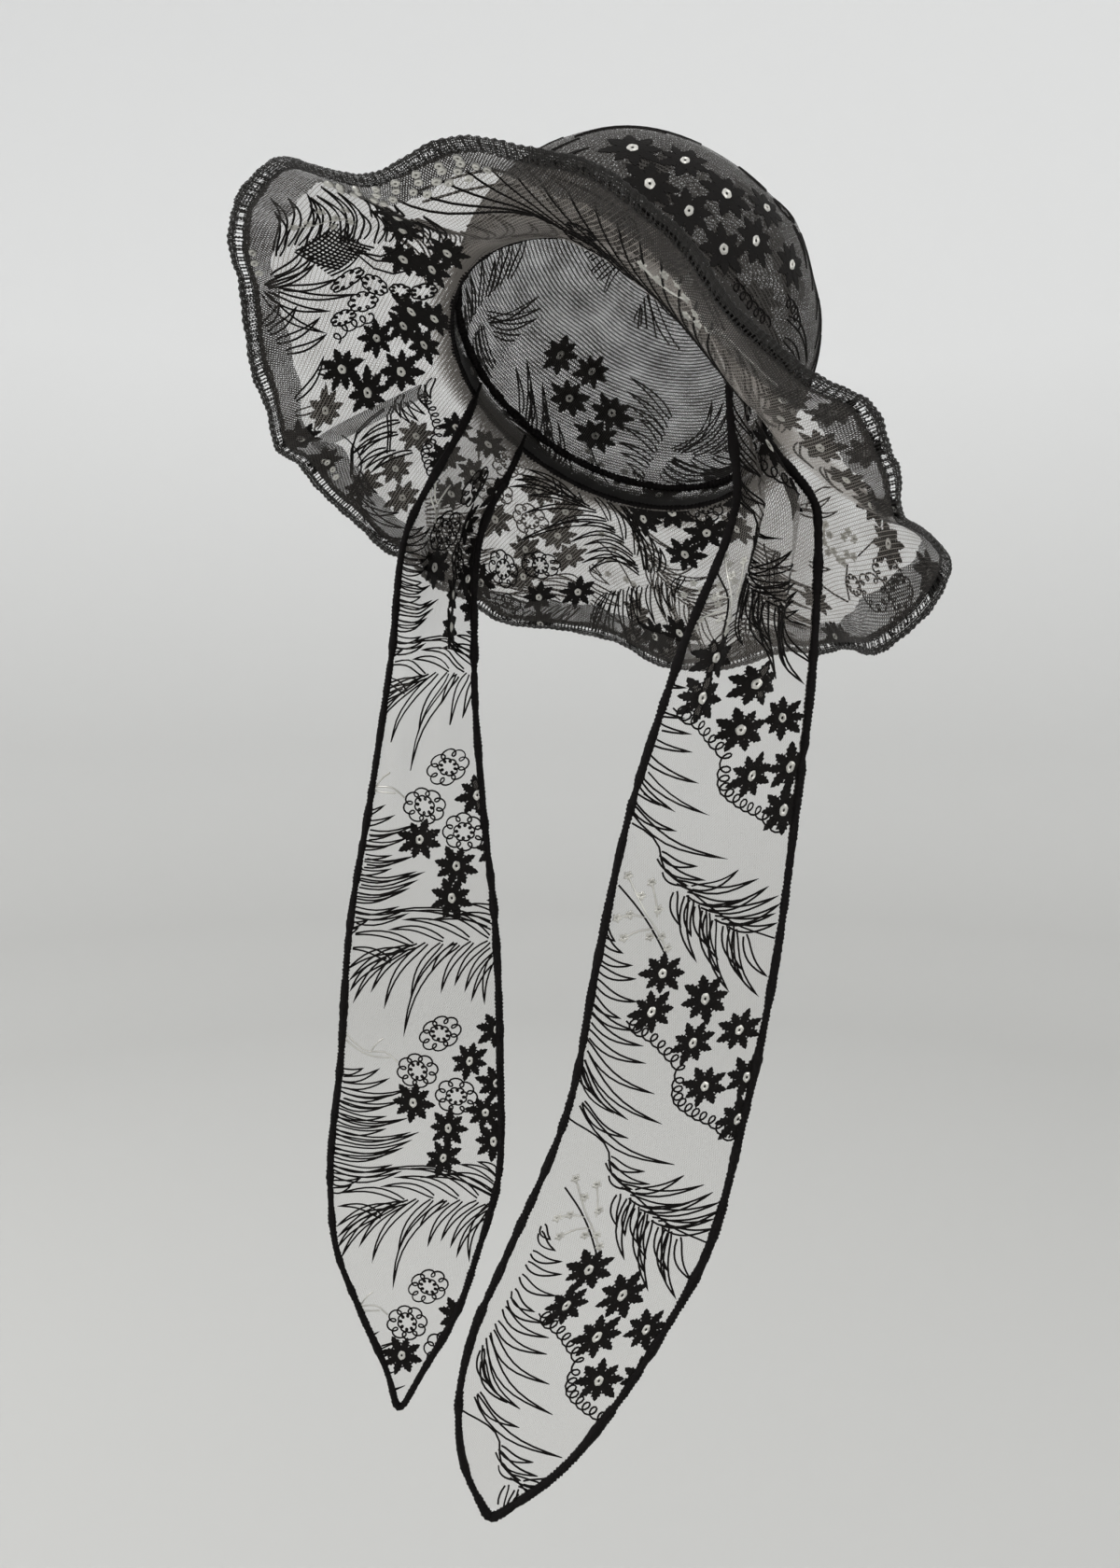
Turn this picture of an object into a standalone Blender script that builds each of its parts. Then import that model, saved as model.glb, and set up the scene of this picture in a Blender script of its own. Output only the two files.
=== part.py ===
"""Veil hat: a soft sun hat of embroidered net with a wavy brim and two long pointed scarf ties.

It is modelled as worn. The crown leans back, the origin is the centre of the head opening, -Y is the
wearer's front, +X the wearer's left, +Z is up, and both ties hang from inside the opening at the ears.
Every cloth piece is a grid laid on a surface function and given its wall, so that its folds come from
the tables below. A table holds shares of the named size that its comment gives.
"""

import math

import bmesh
import bpy
import numpy as np

# Driving dimensions, in metres
OPENING_WIDTH = 0.168  # head opening, ear to ear
OPENING_LENGTH = 0.196  # head opening, forehead to nape
CROWN_HEIGHT = 0.117  # opening to crown top, along the crown's own axis
BRIM_WIDTH = 0.115  # opening to outer edge
HEM_WIDTH = 0.009  # turned and gathered band along the brim's outer edge
TIE_LENGTH = 0.600  # top of the tuck to the point
TIE_WIDTH = 0.106  # widest place
TIE_TUCK = 0.006  # how far a tie's top is sewn up inside the crown
TIE_EDGE = 0.0045  # thickness of the rolled black edge
CLOTH = 0.0012  # doubled net of the crown and brim
TIE_CLOTH = 0.0010
HEM_CLOTH = 0.0024  # the hem is four layers
JOIN_GAP = 0.0003  # between pieces that are sewn together
HEM_GAP = 0.0006  # between the brim and its thicker hem, whose cut edges lean unlike each other
EDGE_GAP = 0.0007  # between a tie's cloth and its rolled edge, which follows it in short straight runs

# How it is worn and cut
WORN_TILT = math.radians(30)  # the crown's axis leans back from upright
CROWN_SQUARENESS = 3.1  # 2 is a round dome, more has a flatter top and fuller shoulders
CROWN_SWELL = 0.13  # share of the opening's half width by which the side wall swells
CROWN_SLUMP_BACK = 0.13  # share of CROWN_HEIGHT by which the soft top has slid backwards
CROWN_SLUMP_LEFT = 0.09  # the same, towards the wearer's left
TIE_AT = math.radians(4)  # how far behind the ears a tie is centred
TIE_ARC = math.radians(17)  # half of the arc of the opening that a tie's top takes
TIE_DROP_IN = 0.10  # share of the tie over which it leaves the opening's curve
RUFFLES = 23  # small waves along the brim's edge
RUFFLE_DEPTH = 0.0018
RUFFLE_VARIETY = 0.3  # share of their depth by which the small waves differ round the brim

# Mesh density
BRIM_AROUND, BRIM_ACROSS = 90, 8
CROWN_AROUND, CROWN_UP = 56, 10
TIE_ACROSS, TIE_DOWN = 9, 36
TIP_POINTS = 5
ROW_CROWDING = 0.08  # how much closer a tie's rows lie at the seam and at the point

# Crown folds. at and spread are degrees round the crown from the wearer's left, counted to the back;
# low and high are shares of the way up to the top centre; depth is a share of the opening's half width,
# and a negative one is a dent.
CROWN_FOLDS = [
    dict(at=-112, spread=36, low=0.40, high=1.00, depth=-0.060),
    dict(at=-64, spread=9, low=0.35, high=0.98, depth=0.035),
    dict(at=-40, spread=11, low=0.30, high=0.95, depth=-0.035),
    dict(at=-12, spread=9, low=0.20, high=0.90, depth=0.030),
    dict(at=10, spread=9, low=0.15, high=0.85, depth=-0.025),
    dict(at=42, spread=22, low=0.30, high=0.98, depth=0.090),
    dict(at=84, spread=12, low=0.10, high=0.85, depth=-0.045),
    dict(at=122, spread=16, low=0.10, high=0.85, depth=0.025),
    dict(at=163, spread=12, low=0.15, high=0.85, depth=-0.040),
]

# Brim waves. at is degrees round the opening as above; the others are shares of BRIM_WIDTH. out and
# drop are the outer edge's place beyond and below the opening, along the crown's axis. sag_out and
# sag_drop steer the cloth between them, as the middle point of a three-point curve.
BRIM_WAVES = [
    dict(at=-170, out=0.81, drop=0.48, sag_out=0.45, sag_drop=0.05),
    dict(at=-156, out=0.79, drop=0.50, sag_out=0.45, sag_drop=0.12),
    dict(at=-146, out=0.81, drop=0.43, sag_out=0.45, sag_drop=-0.02),
    dict(at=-135, out=0.86, drop=0.33, sag_out=0.45, sag_drop=-0.05),
    dict(at=-124, out=0.92, drop=0.27, sag_out=0.45, sag_drop=0.00),
    dict(at=-112, out=0.90, drop=0.33, sag_out=0.42, sag_drop=0.05),
    dict(at=-101, out=0.86, drop=0.39, sag_out=0.40, sag_drop=0.15),
    dict(at=-88, out=0.76, drop=0.56, sag_out=0.38, sag_drop=0.45),
    dict(at=-76, out=0.80, drop=0.51, sag_out=0.35, sag_drop=0.42),
    dict(at=-61, out=0.80, drop=0.51, sag_out=0.30, sag_drop=0.50),
    dict(at=-50, out=0.77, drop=0.55, sag_out=0.22, sag_drop=0.55),
    dict(at=-38, out=0.69, drop=0.66, sag_out=0.15, sag_drop=0.55),
    dict(at=-24, out=0.67, drop=0.68, sag_out=0.15, sag_drop=0.70),
    dict(at=-12, out=0.72, drop=0.62, sag_out=0.18, sag_drop=0.77),
    dict(at=0, out=0.71, drop=0.63, sag_out=0.25, sag_drop=0.78),
    dict(at=9, out=0.69, drop=0.66, sag_out=0.35, sag_drop=0.70),
    dict(at=18, out=0.74, drop=0.60, sag_out=0.45, sag_drop=0.50),
    dict(at=29, out=0.88, drop=0.52, sag_out=0.52, sag_drop=0.20),
    dict(at=40, out=0.88, drop=0.58, sag_out=0.55, sag_drop=0.00),
    dict(at=50, out=0.80, drop=0.68, sag_out=0.52, sag_drop=0.05),
    dict(at=64, out=0.89, drop=0.46, sag_out=0.45, sag_drop=0.20),
    dict(at=80, out=0.93, drop=0.32, sag_out=0.45, sag_drop=0.05),
    dict(at=100, out=0.86, drop=0.46, sag_out=0.42, sag_drop=0.20),
    dict(at=120, out=0.93, drop=0.30, sag_out=0.45, sag_drop=0.00),
    dict(at=140, out=0.86, drop=0.46, sag_out=0.45, sag_drop=0.15),
    dict(at=160, out=0.84, drop=0.46, sag_out=0.45, sag_drop=0.05),
]

# Brim creases, running from the opening outwards. at and spread are degrees as above; low and high are
# shares of the way out, and past 1 the crease reaches the edge; depth is a share of BRIM_WIDTH.
BRIM_FOLDS = [
    dict(at=-160, spread=5, low=0.00, high=1.50, depth=-0.045),
    dict(at=-132, spread=4, low=0.45, high=1.70, depth=0.035),
    dict(at=-114, spread=6, low=0.00, high=1.10, depth=0.035),
    dict(at=-98, spread=5, low=0.00, high=1.30, depth=-0.035),
    dict(at=-70, spread=6, low=0.05, high=1.10, depth=0.030),
    dict(at=58, spread=7, low=0.00, high=1.30, depth=0.040),
    dict(at=92, spread=7, low=0.00, high=1.20, depth=-0.035),
    dict(at=130, spread=8, low=0.00, high=1.40, depth=-0.040),
    dict(at=150, spread=6, low=0.00, high=1.30, depth=0.035),
]

# The ties as they hang. down, left and back are shares of TIE_LENGTH, from the middle of the tie's top;
# breadth, pleat and cup are shares of TIE_WIDTH, with pleat the depth of the gathers and cup how far
# the middle stands forward of the edges; turn is degrees from +X towards +Y of the line across the tie.
TIE_LEFT_FALL = [
    dict(down=0.00, left=0.000, back=0.000, breadth=0.48, pleat=0.030, cup=0.00, turn=86),
    dict(down=0.10, left=0.010, back=0.016, breadth=0.48, pleat=0.075, cup=0.02, turn=66),
    dict(down=0.235, left=-0.009, back=0.003, breadth=0.70, pleat=0.060, cup=0.04, turn=48),
    dict(down=0.37, left=-0.032, back=-0.013, breadth=0.85, pleat=0.025, cup=0.06, turn=40),
    dict(down=0.50, left=-0.050, back=-0.025, breadth=0.91, pleat=0.006, cup=0.06, turn=36),
    dict(down=0.635, left=-0.071, back=-0.041, breadth=0.91, pleat=0.000, cup=0.04, turn=33),
    dict(down=0.77, left=-0.109, back=-0.068, breadth=1.01, pleat=0.000, cup=-0.02, turn=31),
    dict(down=0.835, left=-0.135, back=-0.086, breadth=0.96, pleat=0.000, cup=-0.03, turn=30),
    dict(down=0.90, left=-0.157, back=-0.102, breadth=0.80, pleat=0.000, cup=-0.03, turn=30),
    dict(down=0.967, left=-0.177, back=-0.115, breadth=0.43, pleat=0.000, cup=-0.01, turn=30),
    dict(down=1.00, left=-0.188, back=-0.123, breadth=0.08, pleat=0.000, cup=0.00, turn=30),
]
TIE_RIGHT_FALL = [
    dict(down=0.00, left=0.000, back=0.000, breadth=0.48, pleat=0.030, cup=0.00, turn=94),
    dict(down=0.10, left=-0.050, back=-0.020, breadth=0.46, pleat=0.075, cup=0.02, turn=64),
    dict(down=0.235, left=-0.064, back=-0.028, breadth=0.50, pleat=0.075, cup=0.04, turn=48),
    dict(down=0.37, left=-0.070, back=-0.032, breadth=0.66, pleat=0.040, cup=0.05, turn=42),
    dict(down=0.50, left=-0.074, back=-0.035, breadth=0.86, pleat=0.010, cup=0.05, turn=37),
    dict(down=0.635, left=-0.076, back=-0.038, breadth=0.95, pleat=0.000, cup=0.03, turn=34),
    dict(down=0.77, left=-0.083, back=-0.043, breadth=1.00, pleat=0.000, cup=-0.02, turn=33),
    dict(down=0.835, left=-0.088, back=-0.047, breadth=0.86, pleat=0.000, cup=-0.03, turn=34),
    dict(down=0.90, left=-0.087, back=-0.047, breadth=0.60, pleat=0.000, cup=-0.03, turn=34),
    dict(down=0.967, left=-0.091, back=-0.050, breadth=0.23, pleat=0.000, cup=-0.01, turn=35),
    dict(down=1.00, left=-0.095, back=-0.053, breadth=0.08, pleat=0.000, cup=0.00, turn=35),
]
PLEATS = 2.5  # gathers across a tie's top

# Finishes: colour, roughness and metallic value
NET = ((0.20, 0.19, 0.18), 0.85, 0.0)
VEIL = ((0.62, 0.60, 0.57), 0.85, 0.0)
ROLLED_EDGE = ((0.012, 0.011, 0.011), 0.75, 0.0)
HEM_NET = ((0.09, 0.085, 0.08), 0.85, 0.0)


def through(places, values, wanted):
    """A smooth curve through (places, values), read at wanted: cubic pieces with averaged slopes."""
    places, values, wanted = (np.asarray(x, float) for x in (places, values, wanted))
    steps = np.diff(places)
    rises = np.diff(values) / steps
    inner = (rises[:-1] * steps[1:] + rises[1:] * steps[:-1]) / (steps[:-1] + steps[1:])
    slopes = np.concatenate([[rises[0]], inner, [rises[-1]]])
    cell = np.clip(np.searchsorted(places, wanted) - 1, 0, len(steps) - 1)
    width = steps[cell]
    t = np.clip((wanted - places[cell]) / width, 0.0, 1.0)
    start, end = values[cell], values[cell + 1]
    return (
        (1 + 2 * t) * (1 - t) ** 2 * start
        + t * (1 - t) ** 2 * width * slopes[cell]
        + t * t * (3 - 2 * t) * end
        - t * t * (1 - t) * width * slopes[cell + 1]
    )


def round_the_brim(column, at):
    """A column of BRIM_WAVES as a closed curve, read at the angles at, in radians."""
    rows = sorted(BRIM_WAVES, key=lambda row: row["at"])
    places = [row["at"] for row in rows]
    values = [row[column] for row in rows]
    margin = 4
    places = [p - 360 for p in places[-margin:]] + places + [p + 360 for p in places[:margin]]
    values = values[-margin:] + values + values[:margin]
    degrees = (np.degrees(at) + 180.0) % 360.0 - 180.0
    return through(places, values, degrees)


def down_the_tie(fall, column, down):
    return through([row["down"] for row in fall], [row[column] for row in fall], down)


def smooth_step(x):
    x = np.clip(x, 0.0, 1.0)
    return x * x * (3 - 2 * x)


def opening_radius(at):
    """Distance from the crown's axis to the oval of the head opening."""
    across = np.cos(at) / (OPENING_WIDTH / 2)
    along = np.sin(at) / (OPENING_LENGTH / 2)
    return 1.0 / np.sqrt(across**2 + along**2)


def off_line(fold, at):
    """How strongly a fold is felt at the angle at: 1 on its line, fading over its spread."""
    turn = (np.degrees(at) - fold["at"] + 180.0) % 360.0 - 180.0
    return np.exp(-((turn / fold["spread"]) ** 2))


def along_line(fold, share):
    """How strongly a fold is felt on its way from low to high."""
    return np.sin(math.pi * np.clip((share - fold["low"]) / (fold["high"] - fold["low"]), 0.0, 1.0)) ** 2


def worn(x, y, height):
    """From the hat's own axes, with the opening level, to the leaning hat."""
    lean, rise = math.sin(WORN_TILT), math.cos(WORN_TILT)
    x, y, height = np.broadcast_arrays(x, y, height)
    return np.stack([x, y * rise + height * lean, height * rise - y * lean], axis=-1)


def crown_point(at, up):
    """A point of the crown: up is 0 at the opening and 1 at the top centre."""
    angle = up * math.pi / 2
    power = 2.0 / CROWN_SQUARENESS
    inward = np.maximum(np.cos(angle), 0.0) ** power
    height = np.sin(angle) ** power
    swell = CROWN_SWELL * np.sin(math.pi * np.clip(height, 0, 1)) * inward
    for fold in CROWN_FOLDS:
        swell = swell + fold["depth"] * off_line(fold, at) * along_line(fold, up)
    radius = (opening_radius(at) * inward + swell * OPENING_WIDTH / 2) * (up < 1.0)
    slump = CROWN_HEIGHT * height**2
    x = radius * np.cos(at) + CROWN_SLUMP_LEFT * slump
    y = radius * np.sin(at) + CROWN_SLUMP_BACK * slump
    return worn(x, y, height * CROWN_HEIGHT)


def brim_point(at, across):
    """A point of the brim: across is 0 at the opening and 1 at the outer edge."""
    middle = 2 * across * (1 - across)
    edge = across**2
    out = middle * round_the_brim("sag_out", at) + edge * round_the_brim("out", at)
    drop = middle * round_the_brim("sag_drop", at) + edge * round_the_brim("drop", at)
    uneven = 1.0 - RUFFLE_VARIETY + RUFFLE_VARIETY * np.sin(5 * at + 1.0)
    ruffle = RUFFLE_DEPTH * across**2 * np.sin(RUFFLES * at) * uneven
    for fold in BRIM_FOLDS:
        drop = drop - fold["depth"] * off_line(fold, at) * along_line(fold, across)
    below = CLOTH + JOIN_GAP
    radius = opening_radius(at) + BRIM_WIDTH * out
    return worn(radius * np.cos(at), radius * np.sin(at), ruffle - below - BRIM_WIDTH * drop)


def tie_point(side, across, down):
    """A point of a tie: side is 1 for the wearer's left and -1 for the right, across runs from -1 at
    its front edge to 1 at its back edge, and down from 0 at the tuck to 1 at the point."""
    across, down = np.broadcast_arrays(across, down)
    fall = TIE_LEFT_FALL if side > 0 else TIE_RIGHT_FALL
    centre_at = TIE_AT if side > 0 else math.pi - TIE_AT
    tucked = CLOTH / 2 + JOIN_GAP + TIE_EDGE / 2
    at = centre_at + side * across * TIE_ARC
    length = down * TIE_LENGTH
    seam = opening_radius(at) - tucked
    sewn = worn(seam * np.cos(at), seam * np.sin(at), TIE_TUCK - length)
    seam = opening_radius(centre_at) - tucked
    middle = worn(seam * math.cos(centre_at), seam * math.sin(centre_at), TIE_TUCK)
    turn = np.radians(down_the_tie(fall, "turn", down))
    left = TIE_LENGTH * down_the_tie(fall, "left", down)
    back = TIE_LENGTH * down_the_tie(fall, "back", down)
    reach = across * TIE_WIDTH / 2 * down_the_tie(fall, "breadth", down)
    pleats = down_the_tie(fall, "pleat", down) * np.sin(math.pi * PLEATS * across) * (1 - across**4)
    forward = TIE_WIDTH * (pleats + down_the_tie(fall, "cup", down) * (1 - across**2))
    x = middle[0] + left + reach * np.cos(turn) + forward * np.sin(turn)
    y = middle[1] + back + reach * np.sin(turn) - forward * np.cos(turn)
    hung = np.stack([x, y, middle[2] - length], axis=-1)
    blend = smooth_step((length - 2 * TIE_TUCK) / (TIE_DROP_IN * TIE_LENGTH))[..., None]
    return sewn * (1 - blend) + hung * blend


def tie_rows(share):
    """Even steps from 0 to 1 down a tie, drawn closer together at the seam and at the point."""
    return (1.0 - TIE_EDGE / TIE_LENGTH) * (share - ROW_CROWDING * np.sin(2 * math.pi * share))


def set_in(side, edge, down, outer, distance):
    """The share of across by which a line lies in from a tie's edge, -1 or 1, so that it runs at a
    distance from the line that lies in by the share outer."""
    step = 1e-3
    fixed = edge * (1.0 - outer)
    anchor = tie_point(side, fixed, down)
    along = tie_point(side, fixed, down + step) - tie_point(side, fixed, down - step)
    along /= np.linalg.norm(along, axis=-1, keepdims=True)
    fall = TIE_LEFT_FALL if side > 0 else TIE_RIGHT_FALL
    reach = distance / (TIE_WIDTH / 2 * down_the_tie(fall, "breadth", down))
    for _ in range(4):
        gap = tie_point(side, edge * (1.0 - outer - reach), down) - anchor
        gap -= np.sum(gap * along, axis=-1, keepdims=True) * along
        reach = np.minimum(reach * distance / np.linalg.norm(gap, axis=-1), 0.9 - outer)
    return outer + reach


def finish(name, look):
    colour, roughness, metallic = look
    material = bpy.data.materials.new(name)
    material.use_nodes = True
    shader = material.node_tree.nodes["Principled BSDF"]
    shader.inputs["Base Color"].default_value = (*colour, 1.0)
    shader.inputs["Roughness"].default_value = roughness
    shader.inputs["Metallic"].default_value = metallic
    return material


def laid_grid(name, columns, rows, place):
    """A mesh grid whose vertices are put where place(across, along), both 0 to 1, says; vertices that
    meet, as round a ring or at a pole, become one."""
    bm = bmesh.new()
    bmesh.ops.create_grid(bm, x_segments=columns, y_segments=rows, size=0.5)
    spots = np.array([v.co[:2] for v in bm.verts]) + 0.5
    for vertex, spot in zip(bm.verts, place(spots[:, 0], spots[:, 1])):
        vertex.co = spot
    bmesh.ops.remove_doubles(bm, verts=bm.verts, dist=1e-5)
    mesh = bpy.data.meshes.new(name)
    bm.to_mesh(mesh)
    bm.free()
    mesh.shade_smooth()
    return mesh


def add_cloth(collection, name, mesh, wall, look):
    cloth = bpy.data.objects.new(name, mesh)
    cloth.data.materials.append(finish(name, look))
    collection.objects.link(cloth)
    thickness = cloth.modifiers.new("wall", "SOLIDIFY")
    thickness.thickness = wall
    thickness.offset = 0.0
    thickness.use_quality_normals = True
    return cloth


def full_turn(share):
    return (share * 2.0 - 1.0) * math.pi


def make_crown(collection):
    mesh = laid_grid("crown", CROWN_AROUND, CROWN_UP, lambda s, t: crown_point(full_turn(s), t))
    add_cloth(collection, "crown", mesh, CLOTH, NET)


def make_brim(collection):
    last = 1.0 - HEM_WIDTH / BRIM_WIDTH
    mesh = laid_grid("brim", BRIM_AROUND, BRIM_ACROSS, lambda s, t: brim_point(full_turn(-s), t * last))
    add_cloth(collection, "brim", mesh, CLOTH, NET)


def make_hem(collection):
    first = 1.0 - (HEM_WIDTH - HEM_GAP) / BRIM_WIDTH
    mesh = laid_grid(
        "brim_hem", BRIM_AROUND, 1, lambda s, t: brim_point(full_turn(-s), first + t * (1.0 - first))
    )
    add_cloth(collection, "brim_hem", mesh, HEM_CLOTH, HEM_NET)


def make_tie(collection, name, side):
    last = 1.0 - 2 * (TIE_EDGE + EDGE_GAP) / TIE_LENGTH

    def place(s, t):
        across, down = 2.0 * s - 1.0, np.minimum(tie_rows(t), last)
        kept = np.ones_like(across)
        for edge in (-1.0, 1.0):
            cord = set_in(side, edge, down, 0.0, TIE_EDGE / 2)
            cloth = set_in(side, edge, down, cord, TIE_EDGE / 2 + EDGE_GAP)
            kept = np.where(across * edge > 0, 1.0 - cloth, kept)
        return tie_point(side, across * kept, down)

    mesh = laid_grid(name, TIE_ACROSS, TIE_DOWN, place)
    add_cloth(collection, name, mesh, TIE_CLOTH, VEIL)


def make_rolled_edge(collection, name, side):
    """The rolled edge runs down the front edge, round the point and up the back edge."""
    down = tie_rows(np.linspace(0.0, 1.0, TIE_DOWN + 1))
    front_in = set_in(side, -1.0, down, 0.0, TIE_EDGE / 2)
    back_in = set_in(side, 1.0, down, 0.0, TIE_EDGE / 2)
    front = tie_point(side, front_in - 1.0, down)
    back = tie_point(side, 1.0 - back_in, down)
    around = np.linspace(0.0, math.pi, TIP_POINTS + 2)[1:-1]
    tip_down = down[-1] + np.sin(around) * (1.0 - down[-1])
    tip = tie_point(side, -np.cos(around) * (1.0 - front_in[-1]), tip_down)
    route = np.concatenate([front, tip, back[::-1]])
    curve = bpy.data.curves.new(name, "CURVE")
    curve.dimensions = "3D"
    curve.bevel_depth = TIE_EDGE / 2
    curve.bevel_resolution = 2
    curve.use_fill_caps = True
    spline = curve.splines.new("POLY")
    spline.points.add(len(route) - 1)
    for point, spot in zip(spline.points, route):
        point.co = (*spot, 1.0)
    edge = bpy.data.objects.new(name, curve)
    edge.data.materials.append(finish(name, ROLLED_EDGE))
    collection.objects.link(edge)


def main():
    for old in list(bpy.data.objects):
        bpy.data.objects.remove(old, do_unlink=True)
    hat = bpy.data.collections.new("veil_hat")
    bpy.context.scene.collection.children.link(hat)
    make_crown(hat)
    make_brim(hat)
    make_hem(hat)
    for name, side in (("tie_left", 1), ("tie_right", -1)):
        make_tie(hat, name, side)
        make_rolled_edge(hat, name + "_edge", side)


main()
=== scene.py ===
# %% [markdown]
# A soft sun hat of black embroidered net, with a wavy brim and two long scarf ties.
#
# Real net is a sheet of air with a little thread in it, so the whole look rests on two things: how much
# of the sheet is thread, and what is stitched on it. Each piece of cloth here is one thin grid laid on a
# surface function. Its material lets light through between the threads, and the embroidery is real
# geometry that follows the same surface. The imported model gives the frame, the nodes and the box.

import math

import bmesh
import bpy
import numpy as np
from mathutils import Matrix, Vector


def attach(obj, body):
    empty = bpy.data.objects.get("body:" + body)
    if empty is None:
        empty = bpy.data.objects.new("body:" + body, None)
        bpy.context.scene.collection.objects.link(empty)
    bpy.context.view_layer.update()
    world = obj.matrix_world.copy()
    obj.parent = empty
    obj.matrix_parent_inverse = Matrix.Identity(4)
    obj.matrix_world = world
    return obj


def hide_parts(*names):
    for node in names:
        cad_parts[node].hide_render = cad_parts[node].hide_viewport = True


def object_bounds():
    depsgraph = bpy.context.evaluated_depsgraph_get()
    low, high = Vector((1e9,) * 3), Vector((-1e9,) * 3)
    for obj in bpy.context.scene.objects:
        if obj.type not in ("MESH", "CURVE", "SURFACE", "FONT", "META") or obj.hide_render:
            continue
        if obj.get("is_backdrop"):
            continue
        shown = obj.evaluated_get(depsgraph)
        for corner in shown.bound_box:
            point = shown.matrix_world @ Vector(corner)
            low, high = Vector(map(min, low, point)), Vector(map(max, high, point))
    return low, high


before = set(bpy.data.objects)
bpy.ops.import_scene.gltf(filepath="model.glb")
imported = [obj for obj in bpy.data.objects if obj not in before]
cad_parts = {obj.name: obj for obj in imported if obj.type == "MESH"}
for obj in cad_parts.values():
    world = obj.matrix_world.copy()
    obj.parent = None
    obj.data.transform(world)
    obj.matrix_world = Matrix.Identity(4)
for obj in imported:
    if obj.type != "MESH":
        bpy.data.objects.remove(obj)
cad_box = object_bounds()
print("nodes", sorted(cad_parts))

# %% [markdown]
# The camera comes first, because it says how large everything looks. It was found by matching the oval
# of the head opening: it stands a little below the hat, 35 degrees towards the wearer's left, and looks
# 4 degrees down. Blender's camera looks along its own -Z, so its turn is built from three directions.

# %% Camera
PICTURE = (1200, 1680)
FOCUS_PIXELS = 1213.0
CAMERA_TURN = math.radians(35)
CAMERA_DOWN = math.radians(4)
CAMERA_AWAY = 0.610
ORIGIN_RIGHT = 0.0277
ORIGIN_UP = 0.166


def place_camera():
    ahead = Vector((-math.sin(CAMERA_TURN), math.cos(CAMERA_TURN), 0.0))
    right = Vector((math.cos(CAMERA_TURN), math.sin(CAMERA_TURN), 0.0))
    look = ahead * math.cos(CAMERA_DOWN) + Vector((0, 0, -math.sin(CAMERA_DOWN)))
    turn = Matrix((right, right.cross(look), -look)).transposed().to_4x4()
    spot = -ahead * CAMERA_AWAY - right * ORIGIN_RIGHT - Vector((0, 0, ORIGIN_UP))
    data = bpy.data.cameras.new("camera")
    data.sensor_fit = "VERTICAL"
    data.sensor_height = 36.0
    data.lens = data.sensor_height * FOCUS_PIXELS / PICTURE[1]
    data.clip_start = 0.01
    camera = bpy.data.objects.new("camera", data)
    camera.matrix_world = Matrix.Translation(spot) @ turn
    bpy.context.scene.collection.objects.link(camera)
    bpy.context.scene.camera = camera
    return camera


camera = place_camera()
print("camera at", [round(x, 3) for x in camera.location])

# %% [markdown]
# The hat's measures repeat those of the part's source, in metres, because the cloth here has to lie
# exactly where the solids lie. Folds and waves are tables: a row for each fold, a column for each
# property, and a smooth curve runs through the rows.

# %% Measures
OPENING_WIDTH = 0.168
OPENING_LENGTH = 0.196
CROWN_HEIGHT = 0.117
BRIM_WIDTH = 0.115
HEM_WIDTH = 0.009
TIE_LENGTH = 0.600
TIE_WIDTH = 0.106
TIE_TUCK = 0.006
TIE_EDGE = 0.0045
CLOTH = 0.0012
JOIN_GAP = 0.0003
WORN_TILT = math.radians(30)
CROWN_SQUARENESS = 3.1
CROWN_SWELL = 0.13
CROWN_SLUMP_BACK = 0.13
CROWN_SLUMP_LEFT = 0.09
TIE_AT = math.radians(4)
TIE_ARC = math.radians(17)
TIE_DROP_IN = 0.10
RUFFLES = 23
RUFFLE_DEPTH = 0.0018
RUFFLE_VARIETY = 0.3
PLEATS = 2.5


def rows(columns, table):
    """A short table as a list of rows with named columns."""
    return [dict(zip(columns.split(), row)) for row in table]


CROWN_FOLDS = rows(
    "at spread low high depth",
    [
        (-112, 36, 0.40, 1.00, -0.060),
        (-64, 9, 0.35, 0.98, 0.035),
        (-40, 11, 0.30, 0.95, -0.035),
        (-12, 9, 0.20, 0.90, 0.030),
        (10, 9, 0.15, 0.85, -0.025),
        (42, 22, 0.30, 0.98, 0.090),
        (84, 12, 0.10, 0.85, -0.045),
        (122, 16, 0.10, 0.85, 0.025),
        (163, 12, 0.15, 0.85, -0.040),
    ],
)
BRIM_WAVES = rows(
    "at out drop sag_out sag_drop",
    [
        (-170, 0.81, 0.48, 0.45, 0.05),
        (-156, 0.79, 0.50, 0.45, 0.12),
        (-146, 0.81, 0.43, 0.45, -0.02),
        (-135, 0.86, 0.33, 0.45, -0.05),
        (-124, 0.92, 0.27, 0.45, 0.00),
        (-112, 0.90, 0.33, 0.42, 0.05),
        (-101, 0.86, 0.39, 0.40, 0.15),
        (-88, 0.76, 0.56, 0.38, 0.45),
        (-76, 0.80, 0.51, 0.35, 0.42),
        (-61, 0.80, 0.51, 0.30, 0.50),
        (-50, 0.77, 0.55, 0.22, 0.55),
        (-38, 0.69, 0.66, 0.15, 0.55),
        (-24, 0.67, 0.68, 0.15, 0.70),
        (-12, 0.72, 0.62, 0.18, 0.77),
        (0, 0.71, 0.63, 0.25, 0.78),
        (9, 0.69, 0.66, 0.35, 0.70),
        (18, 0.74, 0.60, 0.45, 0.50),
        (29, 0.88, 0.52, 0.52, 0.20),
        (40, 0.88, 0.58, 0.55, 0.00),
        (50, 0.80, 0.68, 0.52, 0.05),
        (64, 0.89, 0.46, 0.45, 0.20),
        (80, 0.93, 0.32, 0.45, 0.05),
        (100, 0.86, 0.46, 0.42, 0.20),
        (120, 0.93, 0.30, 0.45, 0.00),
        (140, 0.86, 0.46, 0.45, 0.15),
        (160, 0.84, 0.46, 0.45, 0.05),
    ],
)
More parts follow.
